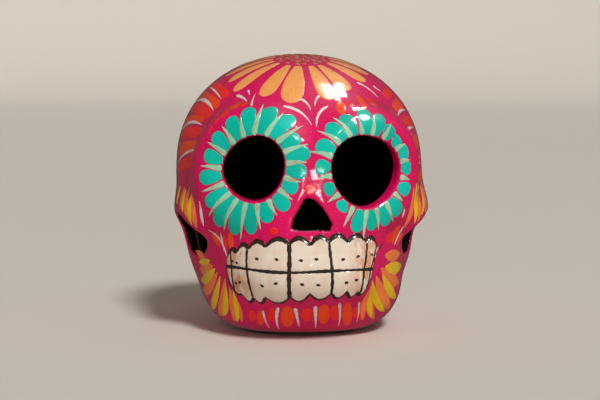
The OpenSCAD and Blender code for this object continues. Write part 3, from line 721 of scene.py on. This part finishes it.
class Marks:
    """Collects brush marks into one closed mesh, with the attributes that the paint reads."""

    def __init__(self, seed):
        self.rng = np.random.default_rng(seed)
        self.count = 0
        self.size = 0
        self.points, self.faces, self.brush, self.share, self.slots = [], [], [], [], []

    def film(self, path, widths, lift=0.1, slot=0, level=False, over=None, wobble=0.05, skew=0.0):
        """A film over a path of points in millimetres, with a width at each. over gives the height of what
        lies beneath it; with level, the points are reached level from the upright axis."""
        path, widths = np.asarray(path, float), np.asarray(widths, float)
        n = len(path)
        ahead = unit(np.gradient(path, axis=0))
        centre = level_centre(path) if level else MID
        side = unit(np.cross(ahead, path - centre))
        s = np.sin(np.linspace(-1, 1, ACROSS) * np.pi / 2)
        gone = np.concatenate([[0], np.cumsum(np.linalg.norm(np.diff(path, axis=0), axis=1))])
        phase = self.rng.uniform(0, 60, 2)
        shake = [np.sin(gone * 1.9 + p) + 0.7 * np.sin(gone * 4.3 + 2 * p) for p in phase]
        left = widths / 2 + wobble * shake[0] * np.minimum(1, widths)
        right = widths / 2 + wobble * shake[1] * np.minimum(1, widths)
        reach = np.where(s < 0, np.maximum(left, 0.02)[:, None], np.maximum(right, 0.02)[:, None]) * s
        grid = path[:, None] + side[:, None] * reach[..., None]
        grid = grid + ahead[:, None] * (skew * reach * (gone / max(gone[-1], 1e-6))[:, None])[..., None]
        crown = np.sqrt(np.maximum(0, 1 - np.abs(s) ** 6))
        rise = np.broadcast_to(lift * crown, grid.shape[:-1]).copy()
        rise[[0, -1]] = 0
        extra = over(grid) if over else 0
        sunk = np.full(rise.shape, -SINK)
        flat = grid.reshape(-1, 3)
        for heights in (rise + extra - 0.02, sunk + extra):
            points, _ = on_skin(flat, heights.reshape(-1), level_centre(flat) if level else None)
            self.points.append(points)
        quads = slab_faces(n, ACROSS, self.size)
        self.faces.append(quads)
        self.slots.append(np.full(len(quads), slot))
        t = np.broadcast_to((gone / max(gone[-1], 1e-6))[:, None], reach.shape)
        tone = np.full(reach.shape, self.rng.uniform())
        along = np.broadcast_to(gone[:, None], reach.shape)
        brush = np.stack([along, reach, np.full(reach.shape, self.count)], -1)
        share = np.stack([t, np.broadcast_to(s, reach.shape), tone], -1)
        self.brush += [brush.reshape(-1, 3)] * 2
        self.share += [share.reshape(-1, 3)] * 2
        self.size += 2 * n * ACROSS
        self.count += 1

    def stroke(self, a, b, width, kind="leaf", bend=0.0, slot=0, lift=0.1):
        """A brush mark from the guide point a to b, bowed sideways by bend millimetres."""
        ends, _ = on_skin(np.array([a, b]))
        length = np.linalg.norm(ends[1] - ends[0])
        n = max(8, int(length / STATION)) + 1
        t = (1 - np.cos(np.linspace(0, np.pi, n))) / 2
        side = unit(np.cross(ends[1] - ends[0], ends.mean(0) - MID))
        path = ends[0] + (ends[1] - ends[0]) * t[:, None] + side * (4 * bend * t * (1 - t))[:, None]
        path, _ = on_skin(path)
        widths = width * outline(kind, t, BLUNT + self.rng.uniform(-0.3, 0.5))
        skew = self.rng.uniform(-0.12, 0.12) if kind in ("petal", "bar") else 0
        self.film(path, widths, lift, slot, wobble=0.035 * min(width, 3) ** 0.5, skew=skew)

    def piece(self, node, materials, slot):
        mesh = make_mesh(node + "_painted", np.concatenate(self.points), np.concatenate(self.faces))
        for name, rows in (("brush", self.brush), ("share", self.share)):
            data = mesh.attributes.new(name, "FLOAT_VECTOR", "POINT")
            data.data.foreach_set("vector", np.concatenate(rows).astype(np.float32).ravel())
        add_piece(node + "_painted", mesh, materials, node)
        mesh.polygons.foreach_set("material_index", np.concatenate(self.slots).astype(np.int32))


# ---- teeth ----

BITE_Z = 35.4
TEETH_T = 0.9
TEETH_KEY = 0.5
TOP_SWELL = 3.0
LOW_SWELL = -3.4
# height, then the azimuths where the row starts and ends at that height
ROW_ENDS = np.array([(21, -30.4, 21.2), (25, -33.0, 22.1), (29, -35.0, 23.0), (33.5, -36.5, 24.0),
                     (38.5, -36.6, 25.1), (42, -35.6, 27.0), (45.3, -34.0, 30.0)])
TOP_CORNERS = [
    (-36.6, 38.6), (-30.5, 41.8), (-24.5, 44.3), (-17.3, 45.8), (-8.4, 47.4), (-0.9, 46.9), (6, 48.4),
    (13.4, 48), (21.9, 47.3), (28, 44.6)
]
LOW_CORNERS = [
    (-36.6, 31), (-28.8, 23.6), (-23.4, 22.6), (-18, 23.3), (-8, 23.7), (-0.8, 25.5), (7.3, 25.6),
    (13.2, 26.3), (18, 25.6), (22.6, 27.6)
]
# azimuth of each gap low down, at the bite line and high up, then its width
TOOTH_GAPS = [
    (-32.4, -32.8, -34.6, 0.95), (-23.6, -24.6, -24.8, 1.25), (-8.1, -8.3, -8.4, 1.95),
    (7.1, 6.7, 6.3, 1.4), (19.4, 19.6, 22, 1.15), (21.6, 23.0, 28, 0.9)
]
GAP_HEIGHTS = (24, BITE_Z, 48)
# azimuth and height
TOOTH_DOTS = [
    (-32.2, 38.4), (-29.6, 37.9), (-20.2, 40.6), (-12.7, 40.8), (-4.2, 40.5), (1.3, 41), (11, 40.6),
    (17, 41.4), (23.6, 41.6), (-30.6, 28.4), (-28.4, 29), (-18.3, 28.7), (-13, 30.1), (-3.7, 29.8),
    (2, 29.4), (12.3, 30.1), (16.2, 31)
]


def scallop(corners, a, swell):
    """Height of the scalloped edge at azimuth a, with a swell between each pair of corners."""
    az, z = np.array(corners).T
    i = np.clip(np.searchsorted(az, a, side="right") - 1, 0, len(az) - 2)
    t = np.clip((a - az[i]) / (az[i + 1] - az[i]), 0, 1)
    return z[i] + (z[i + 1] - z[i]) * t + swell * np.sin(np.pi * t) ** 0.8


def teeth_top(a):
    return scallop(TOP_CORNERS, a, TOP_SWELL)


def teeth_low(a):
    return scallop(LOW_CORNERS, a, LOW_SWELL)


def row_ends(z):
    """Azimuths where the row of teeth starts and ends at height z."""
    height, start, end = ROW_ENDS.T
    return np.interp(z, height, start), np.interp(z, height, end)


def gap_azimuth(gap, z):
    """Azimuth of a gap line at height z."""
    return np.interp(z, GAP_HEIGHTS, gap[:3])


def tooth_relief(points):
    """Height of the teeth over the jaw: rounded at the edges, each tooth slightly crowned."""
    a = np.degrees(np.arctan2(points[..., 0], MID[1] - points[..., 1]))
    z = points[..., 2]
    start, end = row_ends(z)
    inside = np.minimum(teeth_top(a) - z, z - teeth_low(a))
    inside = np.minimum(inside, 1.15 * np.minimum(a - start, end - a) + 0.2)
    edge = np.clip((inside + 0.9) / 2.0, 0, 1)
    body = TEETH_T * edge * edge * (3 - 2 * edge)
    gap = np.min([np.abs(a - gap_azimuth(g, z)) for g in TOOTH_GAPS], axis=0)
    gap = np.minimum(gap, 0.8 * np.abs(z - BITE_Z))
    return body - 0.22 * np.exp(-(gap / 0.9) ** 2) * (body > 0.5)


def teeth_piece(node, edge_of):
    """The teeth on one side of the bite line, as one relief plate bedded in the jaw."""
    n = 155
    rows = 24
    across = np.linspace(0, 1, n)
    z = np.full(n, BITE_Z)
    for _ in range(12):
        start, end = row_ends(z)
        z = 0.5 * z + 0.5 * edge_of(start + across * (end - start))
    z = BITE_Z + (z - BITE_Z)[:, None] * np.sin(np.linspace(0, 1, rows) * np.pi / 2)
    start, end = row_ends(z)
    grid = by_height(start + across[:, None] * (end - start), z)
    on, _ = on_skin(grid.reshape(-1, 3), 0.0, level_centre(grid.reshape(-1, 3)))
    centre = level_centre(on)
    top, _ = on_skin(on, tooth_relief(on), centre)
    low, _ = on_skin(on, np.full(len(on), -TEETH_KEY), centre)
    mesh = make_mesh(node + "_painted", np.concatenate([top, low]), slab_faces(n, rows))
    work = bmesh.new()
    work.from_mesh(mesh)
    bmesh.ops.recalc_face_normals(work, faces=work.faces[:])
    work.to_mesh(mesh)
    work.free()
    add_piece(node + "_painted", mesh, [TOOTH], node)


def level_path(az, z):
    guide = by_height(np.asarray(az, float), np.asarray(z, float))
    return on_skin(guide, 0.0, level_centre(guide))[0]


ROW_LENGTH = 70
# upper and lower edge: corners, height, outward push of the line, its width and how far that swells
TOOTH_EDGES = [(TOP_CORNERS, teeth_top, 0.55, 1.35, 1.0), (LOW_CORNERS, teeth_low, -0.35, 1.25, 0.6)]
# start or end of the row, and the heights between which its end line runs
END_LINES = [(0, 28.4, 38.6), (1, 27.6, 44.2)]


def tooth_lines():
    marks = Marks(31)

    def line(az, z, widths):
        marks.film(level_path(az, z), widths, lift=0.16, level=True, over=tooth_relief, wobble=0.09)

    for corners, edge_of, push, width, swell in TOOTH_EDGES:
        for (a0, _), (a1, _) in zip(corners[:-1], corners[1:]):
            t = np.linspace(0, 1, max(8, int(abs(a1 - a0) * 1.15 / STATION)))
            az = a0 + (a1 - a0) * t
            arch = np.sin(np.pi * t) ** 0.6
            ends = np.minimum(1, 0.6 + 5 * np.minimum(t, 1 - t))
            line(az, edge_of(az) + push * arch, (width + swell * arch) * ends)
    start, end = row_ends(BITE_Z)
    az = np.linspace(start, end, int(ROW_LENGTH / STATION))
    line(az, BITE_Z + 0.35 * np.sin(az / 6), 1.4 + 0.3 * np.sin(az / 3.1))
    for side, low_z, high_z in END_LINES:
        z = np.linspace(low_z, high_z, int((high_z - low_z) / STATION))
        line(row_ends(z)[side], z, 1.05 + 0.15 * np.sin(z))
    # the small tail past the upper corner
    t = np.linspace(0, 1, 6)
    line(29.6 + 2.6 * t, 43.6 + 2.8 * t, 1.3 - 0.8 * t)
    for gap in TOOTH_GAPS:
        z0 = max(teeth_low(np.array([gap[0]]))[0], 23) - 0.7
        z1 = teeth_top(np.array([gap[2]]))[0] + 1.1
        z = np.linspace(z0, z1, int((z1 - z0) / STATION))
        sway = 0.18 * np.sin((z - z0) / 5 + gap[2])
        line(gap_azimuth(gap, z) + sway, z, gap[3] * (1 + 0.12 * np.sin(z * 0.9 + gap[2])))
    marks.piece("tooth_lines", [INK], "line_paint")


def tooth_dots():
    marks = Marks(37)
    for a, z in TOOTH_DOTS:
        t = (1 - np.cos(np.linspace(0, np.pi, 9))) / 2
        path = level_path(a + (t - 0.5) * 1.55, z + (t - 0.5) * marks.rng.uniform(-0.7, 0.9))
        marks.film(path, 1.25 * outline("oval", t), lift=0.14, level=True, over=tooth_relief, wobble=0.12)
    marks.piece("tooth_dots", [INK], "line_paint")


# ---- painted motifs, each list giving guide values of root and tip, width, bend, colour ----

# bearing from straight ahead and reach in degrees, and width
CROWN_PETALS = [
    (-94, 32, 6.4), (-76, 32, 6.6), (-58, 34.5, 7.4), (-31, 34.5, 8.6), (-11.5, 36.5, 11.2), (14, 35, 9),
    (33, 31, 9), (60, 29, 8.5), (82, 28, 7.5), (104, 28, 7.5), (127, 29, 8.5), (150, 30, 9), (173, 31, 9),
    (196, 31, 9), (219, 31, 9), (243, 31, 8)
]
CROWN_PETAL_ROOT = 11.5
# rings of dots: reach in degrees, how many, turn
CROWN_DOTS = [(2.4, 5, 0), (5.6, 10, 18), (9, 15, 6)]


def crown_petals():
    marks = Marks(11)
    for bearing, far, width in CROWN_PETALS:
        marks.stroke(by_crown(bearing, CROWN_PETAL_ROOT), by_crown(bearing, far), width, "drop")
    marks.piece("crown_petals", [APRICOT], "apricot_paint")


def dot(marks, p, r, squash=1.0):
    """A round dab of paint of radius r over the guide point p."""
    on, n = on_skin(np.array([p]))
    side = unit(np.cross(n[0], [0.2, 0.1, 1]))
    t = (1 - np.cos(np.linspace(0, np.pi, 12))) / 2
    path = on[0] + side * ((2 * t - 1) * r)[:, None]
    marks.film(on_skin(path)[0], 2 * r * squash * outline("oval", t), lift=0.14)


def crown_dots():
    marks = Marks(12)
    for reach, count, turn in CROWN_DOTS:
        for i in range(count):
            bearing = turn + i * 360 / count + marks.rng.uniform(-4, 4)
            dot(marks, by_crown(bearing, reach + marks.rng.uniform(-0.4, 0.4)), marks.rng.uniform(1.0, 1.35),
                squash=marks.rng.uniform(0.75, 1.0))
    marks.piece("crown_dots", [OLIVE], "olive_paint")


# azimuth and elevation of root and tip, width, bend
FOREHEAD = [
    (-40.7, 44.4, -30.3, 39.5, 2, -0.7), (-34.6, 47.1, -31.8, 44.1, 1.3, 0),
    (-26, 36.3, -28.8, 45, 1.3, -0.5), (-12.1, 37.8, 0.6, 29.4, 2, -2.3), (-4, 42.1, 0.6, 36.3, 1.7, -0.9),
    (6, 44, 2.7, 38.1, 1.5, 0.6), (8.9, 38, 2.6, 28.5, 1.7, 2.2), (34.7, 51.9, 42.4, 43, 1.5, -1.4),
    (47.6, 49.9, 50.6, 46.7, 1.5, 0.4)
]
TEMPLE = [
    (-50.3, 42.4, -82, 49.2, 1.1, 0.6), (-51.7, 37, -86, 41, 2, 2.4), (-56, 30.6, -88, 26.5, 1.9, 2.6),
    (-51, 20, -80, 14, 1.4, 2), (50.6, 34.2, 68, 37.2, 1.6, -1.2), (48.5, 24.6, 69, 29.2, 1.9, -2),
    (49.6, 13.4, 71, 16.4, 1.7, -2)
]
CHIN_STROKES = [
    (-21.1, -40.4, -20.6, -50.4, 1.3, 0.4), (-13.7, -38.3, -15.6, -51, 1.9, 1),
    (-6.5, -38.4, -4.6, -49.4, 2.1, 0), (2.2, -37.2, 4.3, -50.4, 2.2, 0),
    (12.2, -35.9, 16.3, -49.2, 1.7, -0.6), (21.8, -36.9, 25.8, -47.6, 1.3, -0.5)
]
# the last value picks the colour: 0 the warmer, 1 the redder
BROW_DOTS = [
    (-35.8, 34.9, -34.6, 39.6, 6.2, 0), (-41, 28.2, -39.7, 31.2, 2.6, 1), (13.6, 33, 15.4, 40.9, 4.9, 0),
    (25.2, 34.7, 28, 43.8, 4, 0), (-32.2, 36.3, -30.2, 39.6, 5, 1), (-38.4, 30.6, -37.2, 35.6, 4, 1),
    (-42.4, 24.5, -41.6, 28, 1.7, 1), (17, 37.5, 21.2, 38, 3.8, 1), (33.6, 42.4, 32, 36.4, 5.4, 1)
]
LEFT_TEMPLE = [
    (-47.5, 43.8, -84, 50.4, 6.4, 1), (-49.5, 38.8, -84, 44.6, 6.2, 0), (-51.5, 34.6, -86, 38.6, 6.2, 1),
    (-57, 33, -88, 31.6, 4.6, 0), (-54, 27.6, -88, 25.4, 6, 1), (-51, 21.8, -88, 18.6, 6.4, 0),
    (-51, 16.4, -82, 11.6, 5.4, 1)
]
RIGHT_TEMPLE = [
    (50.4, 43.6, 66, 47.4, 5.4, 1), (52.6, 37.4, 68, 41.2, 6.6, 0), (49.4, 29.4, 72, 32.4, 7.6, 1),
    (47.6, 21.2, 74, 23.4, 7.6, 0), (49.2, 15.2, 74, 17, 5.2, 1), (48.8, 8.4, 74, 9.6, 6.4, 0)
]


def guide_strokes(node, rows, kind, materials, slot, seed, lift=0.12, colour_last=False):
    """Marks from rows of azimuth and elevation at root and tip, width, then a bend or a colour."""
    marks = Marks(seed)
    for a0, e0, a1, e1, width, last in rows:
        bend, shade = (0, last) if colour_last else (last, 0)
        marks.stroke(by_angle(a0, e0), by_angle(a1, e1), width, kind, bend, shade, lift)
    marks.piece(node, materials, slot)


# direction round the socket in degrees, and distance of the tip from its middle
LEFT_PETALS = [
    (95, 34), (75, 38), (57, 38), (37, 30), (20, 31), (0, 27), (-21, 24), (-45, 25), (-69, 25), (-90, 29),
    (-108, 32), (-126, 34), (-143, 29), (-170, 27), (164, 25), (139, 26), (114, 29)
]
LEFT_RAYS = [
    (86, 39), (66, 36), (46, 37), (28, 32), (11, 28), (-10, 25), (-33, 24), (-57, 24), (-78, 27), (-99, 33),
    (-117, 34), (-135, 33), (-156, 28), (178, 26), (151, 26), (127, 26), (104, 27)
]
RIGHT_PETALS = [
    (92, 32), (75, 29), (57, 25), (39, 23), (20, 24), (0, 24), (-26, 26), (-50, 29), (-68, 29), (-87, 28),
    (-106, 29), (-131, 24), (-158, 25), (175, 28), (152, 31), (131, 33), (113, 32)
]
RIGHT_RAYS = [
    (102, 26), (83, 28), (60, 26), (30, 24), (10, 24), (-13, 24), (-38, 25), (-58, 30), (-78, 29),
    (-95, 33), (-118, 29), (-145, 26), (-172, 27), (162, 33), (141, 35), (122, 34)
]


def eye_petals(node, side, rows, seed):
    marks = Marks(seed)
    for angle, far in rows:
        root = by_eye(side, angle, socket_edge(side, angle) + 0.9)
        marks.stroke(root, by_eye(side, angle, far), 4.9 + far / 12, "petal")
    marks.piece(node, [TEAL], "teal_paint")


def eye_rays(node, side, rows, seed):
    marks = Marks(seed)
    for angle, far in rows:
        root = by_eye(side, angle, socket_edge(side, angle) + 0.7)
        bend = marks.rng.uniform(-0.3, 0.9)
        marks.stroke(root, by_eye(side, angle - 1, far), 3.3, "ray", bend, lift=0.17)
    marks.piece(node, [MINT], "mint_paint")


# azimuth and elevation of root and tip, width, bend, then 0 for the first colour and 1 for the second
LEFT_CHEEK = [
    (-52.5, 1.6, -52.5, -11.8, 4, -0.5, 0), (-57.2, 5, -56.8, -7.4, 4.2, 0.5, 0),
    (-63, 5, -61.4, -4.6, 3.6, 0.4, 0), (-53.4, 2.2, -54.4, -10.4, 3.5, 1, 1),
    (-60.6, 4, -59.2, -5.4, 3, 0.8, 1), (-69.4, 4.6, -67, -2.8, 3.4, 0.4, 1)
]
RIGHT_CHEEK = [
    (45.5, 5, 47.1, -12.8, 3.6, -1.2, 0), (49.6, 6.4, 54.2, -10, 4.6, -1, 0),
    (65, 6, 59.4, -6.2, 4.4, -0.8, 0), (47.4, 6.3, 51.9, -10.4, 3.8, -0.6, 1),
    (60.4, 4.6, 55.4, -7, 3, -0.6, 1)
]
LEFT_JAW = [
    (-55.4, -27.6, -67, -25.2, 5.4, -0.4, 0), (-48.6, -28.2, -67, -33.2, 5.6, -0.6, 0),
    (-44.4, -29.6, -69, -42, 5.4, -1.2, 0), (-38.6, -30.2, -54.4, -48.4, 5, -2.2, 0),
    (-36.3, -32.7, -40.9, -48.2, 4.4, -1.6, 0), (-33.9, -35.2, -35.2, -47.4, 3.3, -0.8, 0),
    (-51.4, -26.8, -66, -30, 3.6, -0.4, 1), (-46.6, -28.8, -67, -37.4, 4.8, -0.8, 1),
    (-42.4, -30.6, -62, -47.6, 4.2, -1.4, 1), (-38.8, -32.8, -48.8, -47.2, 3.8, -1.8, 1),
    (-34.4, -33.2, -39, -48.2, 2.9, -1.6, 1)
]
RIGHT_JAW = [
    (33.7, -21.6, 52, -25, 5.6, 0.4, 0), (30.4, -25.2, 53, -36, 6.6, 0.8, 0),
    (27, -26.8, 50, -44.8, 6.4, 1.6, 0), (24.8, -29.8, 38.4, -47.6, 4.6, 2.2, 0),
    (24.4, -32.2, 29.2, -46.6, 3.2, 1.2, 0), (34.2, -25.8, 56, -30.4, 5.8, 0.6, 1),
    (31.8, -27.6, 53, -41.4, 4.8, 1, 1), (24.8, -27.9, 44, -45, 4.2, 1.8, 1),
    (26, -31.5, 35, -46.4, 3, 1.4, 1)
]
CHEEK_OVALS = [
    (-45.1, -13.3, -42.4, -19.6, 4, 0.6, 0), (-34.3, -12.3, -34.3, -19.4, 4.4, 0.2, 0),
    (-38.2, -14, -38.3, -19.6, 3.5, 0, 1), (43.8, -11.2, 41.4, -18.9, 5.2, 0.4, 0),
    (35.9, -17.6, 39.8, -14, 5.6, 0, 1), (48.6, -15.2, 46.6, -20.6, 3.8, 0, 0)
]
CHEEK_LINES = [
    (-47.1, -12.6, -36.8, -22.4, 1.3, -1.2), (-40.4, -13.3, -38.7, -21, 1.3, 0.6),
    (-47.2, -0.1, -48.5, -10.8, 1.8, -0.2), (46.4, -11.6, 43.4, -19.9, 1.3, -1),
    (42.2, -3.4, 42.8, -7.6, 1.4, 0)
]
CHIN_BEADS = [
    (-26.4, -40.8, -28.3, -46, 4, 1), (-22.2, -40.3, -24.8, -48.2, 3.7, 0),
    (-16.6, -38.6, -18.1, -45.7, 4.8, 1), (-9.6, -37.4, -10.8, -49.2, 6.6, 0),
    (-1.2, -38.6, -0.7, -46, 6.5, 1), (5.6, -36.4, 8.1, -47.5, 6, 0), (10.7, -37, 13.3, -45.6, 5.9, 1),
    (15.7, -35.9, 21.6, -49.2, 5.2, 0), (21.3, -39.4, 23.8, -44.7, 3.7, 1), (23.4, -36, 29, -46.8, 3.5, 0)
]


def two_tone(marks, rows, kind, rise=0.0):
    """Marks from rows with both a bend and a colour; the second colour lies rise higher."""
    for a0, e0, a1, e1, width, bend, shade in rows:
        marks.stroke(by_angle(a0, e0), by_angle(a1, e1), width, kind, bend, shade, 0.12 + rise * shade)


def feathers(node, rows, seed):
    marks = Marks(seed)
    two_tone(marks, rows, "leaf", 0.05)
    marks.piece(node, [PEACH, YELLOW], "peach_paint")


def cheek_strokes():
    marks = Marks(23)
    two_tone(marks, CHEEK_OVALS, "oval")
    for a0, e0, a1, e1, width, bend in CHEEK_LINES:
        marks.stroke(by_angle(a0, e0), by_angle(a1, e1), width, "leaf", bend, 2, 0.16)
    marks.piece("cheek_strokes", [ORANGE, RED, CREAM], "orange_paint")


def nose_dots():
    marks = Marks(27)
    dot(marks, by_angle(-0.4, 5.6), 2.9)
    dot(marks, by_angle(-14.3, -9.9), 1.8)
    marks.piece("nose_dots", [RED], "red_paint")


def by_back(b, r):
    """The flower on the back: bearing and reach in degrees from its own middle."""
    b = math.radians(b)
    return by_angle(180 + r * math.cos(b), 4 + r * math.sin(b))


def back_flower():
    marks = Marks(41)
    for i in range(10):
        marks.stroke(by_back(36 * i, 8), by_back(36 * i, 27), 9, "petal")
    marks.piece("back_flower", [APRICOT], "apricot_paint")


def back_flower_eye():
    marks = Marks(43)
    for i in range(8):
        dot(marks, by_back(51.5 * i, 0 if i == 0 else 4.2), 1.4)
    marks.piece("back_flower_eye", [OLIVE], "olive_paint")


# ---- make everything ----

LACQUER = lacquer()
INSIDE = painted_shade_inside()
PULP = torn_pulp()
KRAFT = kraft()
TOOTH = tooth_paint()
INK = ink()
APRICOT = paint("apricot_paint", (255, 182, 98), (246, 148, 78))
OLIVE = paint("olive_paint", (186, 162, 44), (140, 116, 40), 0.8)
CREAM = paint("cream_paint", (240, 232, 226), (208, 186, 190), 0.85)
ORANGE = paint("orange_paint", (255, 84, 24), (250, 58, 14), 0.99)
RED = paint("red_paint", (255, 48, 40), (244, 24, 30), 0.99)
TEAL = paint("teal_paint", (0, 206, 186), (0, 160, 138), 1.0, under=linear(0, 116, 102))
MINT = paint("mint_paint", (164, 222, 186), (140, 190, 148), 0.78)
PEACH = paint("peach_paint", (255, 142, 70), (250, 112, 44))
YELLOW = paint("yellow_paint", (250, 210, 6), (230, 172, 4), 0.95)

split_shell()
teeth_piece("upper_teeth", teeth_top)
teeth_piece("lower_teeth", teeth_low)
tooth_lines()
tooth_dots()
crown_petals()
crown_dots()
guide_strokes("forehead_strokes", FOREHEAD, "comma", [CREAM], "cream_paint", 13)
guide_strokes("brow_dots", BROW_DOTS, "oval", [ORANGE, RED], "orange_paint", 14, colour_last=True)
eye_petals("left_eye_petals", -1, LEFT_PETALS, 15)
eye_petals("right_eye_petals", 1, RIGHT_PETALS, 16)
eye_rays("left_eye_rays", -1, LEFT_RAYS, 17)
eye_rays("right_eye_rays", 1, RIGHT_RAYS, 18)
guide_strokes("left_temple_band", LEFT_TEMPLE, "bar", [ORANGE, RED], "orange_paint", 19, colour_last=True)
guide_strokes("right_temple_band", RIGHT_TEMPLE, "bar", [ORANGE, RED], "orange_paint", 20, colour_last=True)
guide_strokes("temple_strokes", TEMPLE, "leaf", [CREAM], "cream_paint", 21, lift=0.18)
feathers("left_cheek_feathers", LEFT_CHEEK, 28)
feathers("right_cheek_feathers", RIGHT_CHEEK, 29)
cheek_strokes()
feathers("left_jaw_feathers", LEFT_JAW, 32)
feathers("right_jaw_feathers", RIGHT_JAW, 33)
guide_strokes("chin_beads", CHIN_BEADS, "oval", [ORANGE, RED], "orange_paint", 25, 0.1, colour_last=True)
guide_strokes("chin_strokes", CHIN_STROKES, "comma", [CREAM], "cream_paint", 26, lift=0.18)
nose_dots()
back_flower()
back_flower_eye()
for name in ("seam_strip", "base_disc"):
    node = frame["nodes"][name]
    node.data.materials.clear()
    node.data.materials.append(KRAFT)

# ---- stage and light ----

STAGE_FLAT = 5.0
STAGE_CURVE = 2.5
STAGE_WALL = 3.0
STAGE_SIDES = 72


def stage():
    """A pale floor that curves up into a round wall, well away from the skull and the camera."""
    bend = [math.radians(6 * i) for i in range(16)]
    profile = [(STAGE_FLAT * i / 6, 0) for i in range(1, 6)]
    profile += [(STAGE_FLAT + STAGE_CURVE * math.sin(t), STAGE_CURVE * (1 - math.cos(t))) for t in bend]
    profile.append((STAGE_FLAT + STAGE_CURVE, STAGE_CURVE + STAGE_WALL))
    work = bmesh.new()
    rings = []
    turns = [2 * math.pi * k / STAGE_SIDES for k in range(STAGE_SIDES)]
    for r, z in profile:
        rings.append([work.verts.new((r * math.cos(t), r * math.sin(t), z)) for t in turns])
    work.faces.new(rings[0])
    for low, high in zip(rings[:-1], rings[1:]):
        for k in range(STAGE_SIDES):
            after = (k + 1) % STAGE_SIDES
            work.faces.new((low[k], high[k], high[after], low[after]))
    mesh = bpy.data.meshes.new("floor")
    work.to_mesh(mesh)
    work.free()
    mesh.shade_smooth()
    ground = bpy.data.objects.new("floor", mesh)
    bpy.context.scene.collection.objects.link(ground)
    s = Shader("pale_floor", rough=0.7, coat=0.0)
    s.main.inputs["Base Color"].default_value = linear(221, 213, 203)
    mesh.materials.append(s.material)
    ground.visible_glossy = False


def aim(lamp, azimuth, elevation, distance):
    """Puts a lamp at an angle and a distance in metres from the middle of the skull, facing it."""
    way = way_to(azimuth, elevation)
    lamp.location = Vector(MID * MM) + distance * way
    lamp.rotation_euler = way.to_track_quat("Z", "Y").to_euler()


def lamp_of(name, kind, glossy, diffuse):
    """A lamp that isn't seen itself, and gives gloss, shading or both."""
    data = bpy.data.lights.new(name, kind)
    lamp = bpy.data.objects.new(name, data)
    lamp.visible_camera = False
    lamp.visible_glossy = glossy
    lamp.visible_diffuse = diffuse
    bpy.context.scene.collection.objects.link(lamp)
    return lamp, data


def sun(name, azimuth, elevation, strength, spread):
    """A far lamp that shades but shows no highlight, its disc spread degrees wide."""
    lamp, data = lamp_of(name, "SUN", False, True)
    data.energy, data.angle = strength, math.radians(spread)
    aim(lamp, azimuth, elevation, 2)


def soft_panel(name, azimuth, elevation, distance, size, brightness):
    """A wide soft panel that shades but shows no highlight."""
    lamp, data = lamp_of(name, "AREA", False, True)
    data.size = size
    data.energy = brightness * math.pi * size * size
    aim(lamp, azimuth, elevation, distance)


def reflected_window(name, width, height, brightness):
    """A bright rectangle that shows only as a highlight in the varnish."""
    lamp, data = lamp_of(name, "AREA", True, False)
    data.shape = "RECTANGLE"
    data.size, data.size_y = width, height
    data.energy = brightness * math.pi * width * height
    return lamp


OVERHEAD = 1.5


def overhead_window(name, x, y, width, length, turn, brightness):
    """A reflected window that lies level above the skull, x to the side and y back, turned in plan."""
    lamp = reflected_window(name, width, length, brightness)
    lamp.location = Vector(MID * MM) + Vector((x, y, OVERHEAD))
    lamp.rotation_euler = (0, 0, math.radians(turn))


def world():
    made = bpy.data.worlds.new("studio")
    made.use_nodes = True
    back = made.node_tree.nodes["Background"]
    back.inputs["Color"].default_value = (0.86, 0.84, 0.82, 1)
    back.inputs["Strength"].default_value = 0.08
    bpy.context.scene.world = made


stage()
sun("key", 18, 47, 2.3, 12)
soft_panel("ceiling", 0, 90, 2.5, 3.0, 0.12)
soft_panel("front", -4, 3, 1.9, 1.1, 2.4)
overhead_window("window_back", 0.5, 0.4, 0.17, 0.6, -22, 30)
overhead_window("window_middle", 0.36, 0.42, 0.1, 0.2, -8, 26)
overhead_window("window_front", 1.25, -0.85, 0.36, 1.3, 62, 60)
aim(reflected_window("window_right", 0.13, 0.15, 34), 21.5, 39.5, 1.8)
aim(reflected_window("window_centre", 0.026, 0.08, 26), 5, -1, 0.7)
world()
bpy.context.scene.view_settings.view_transform = "Standard"
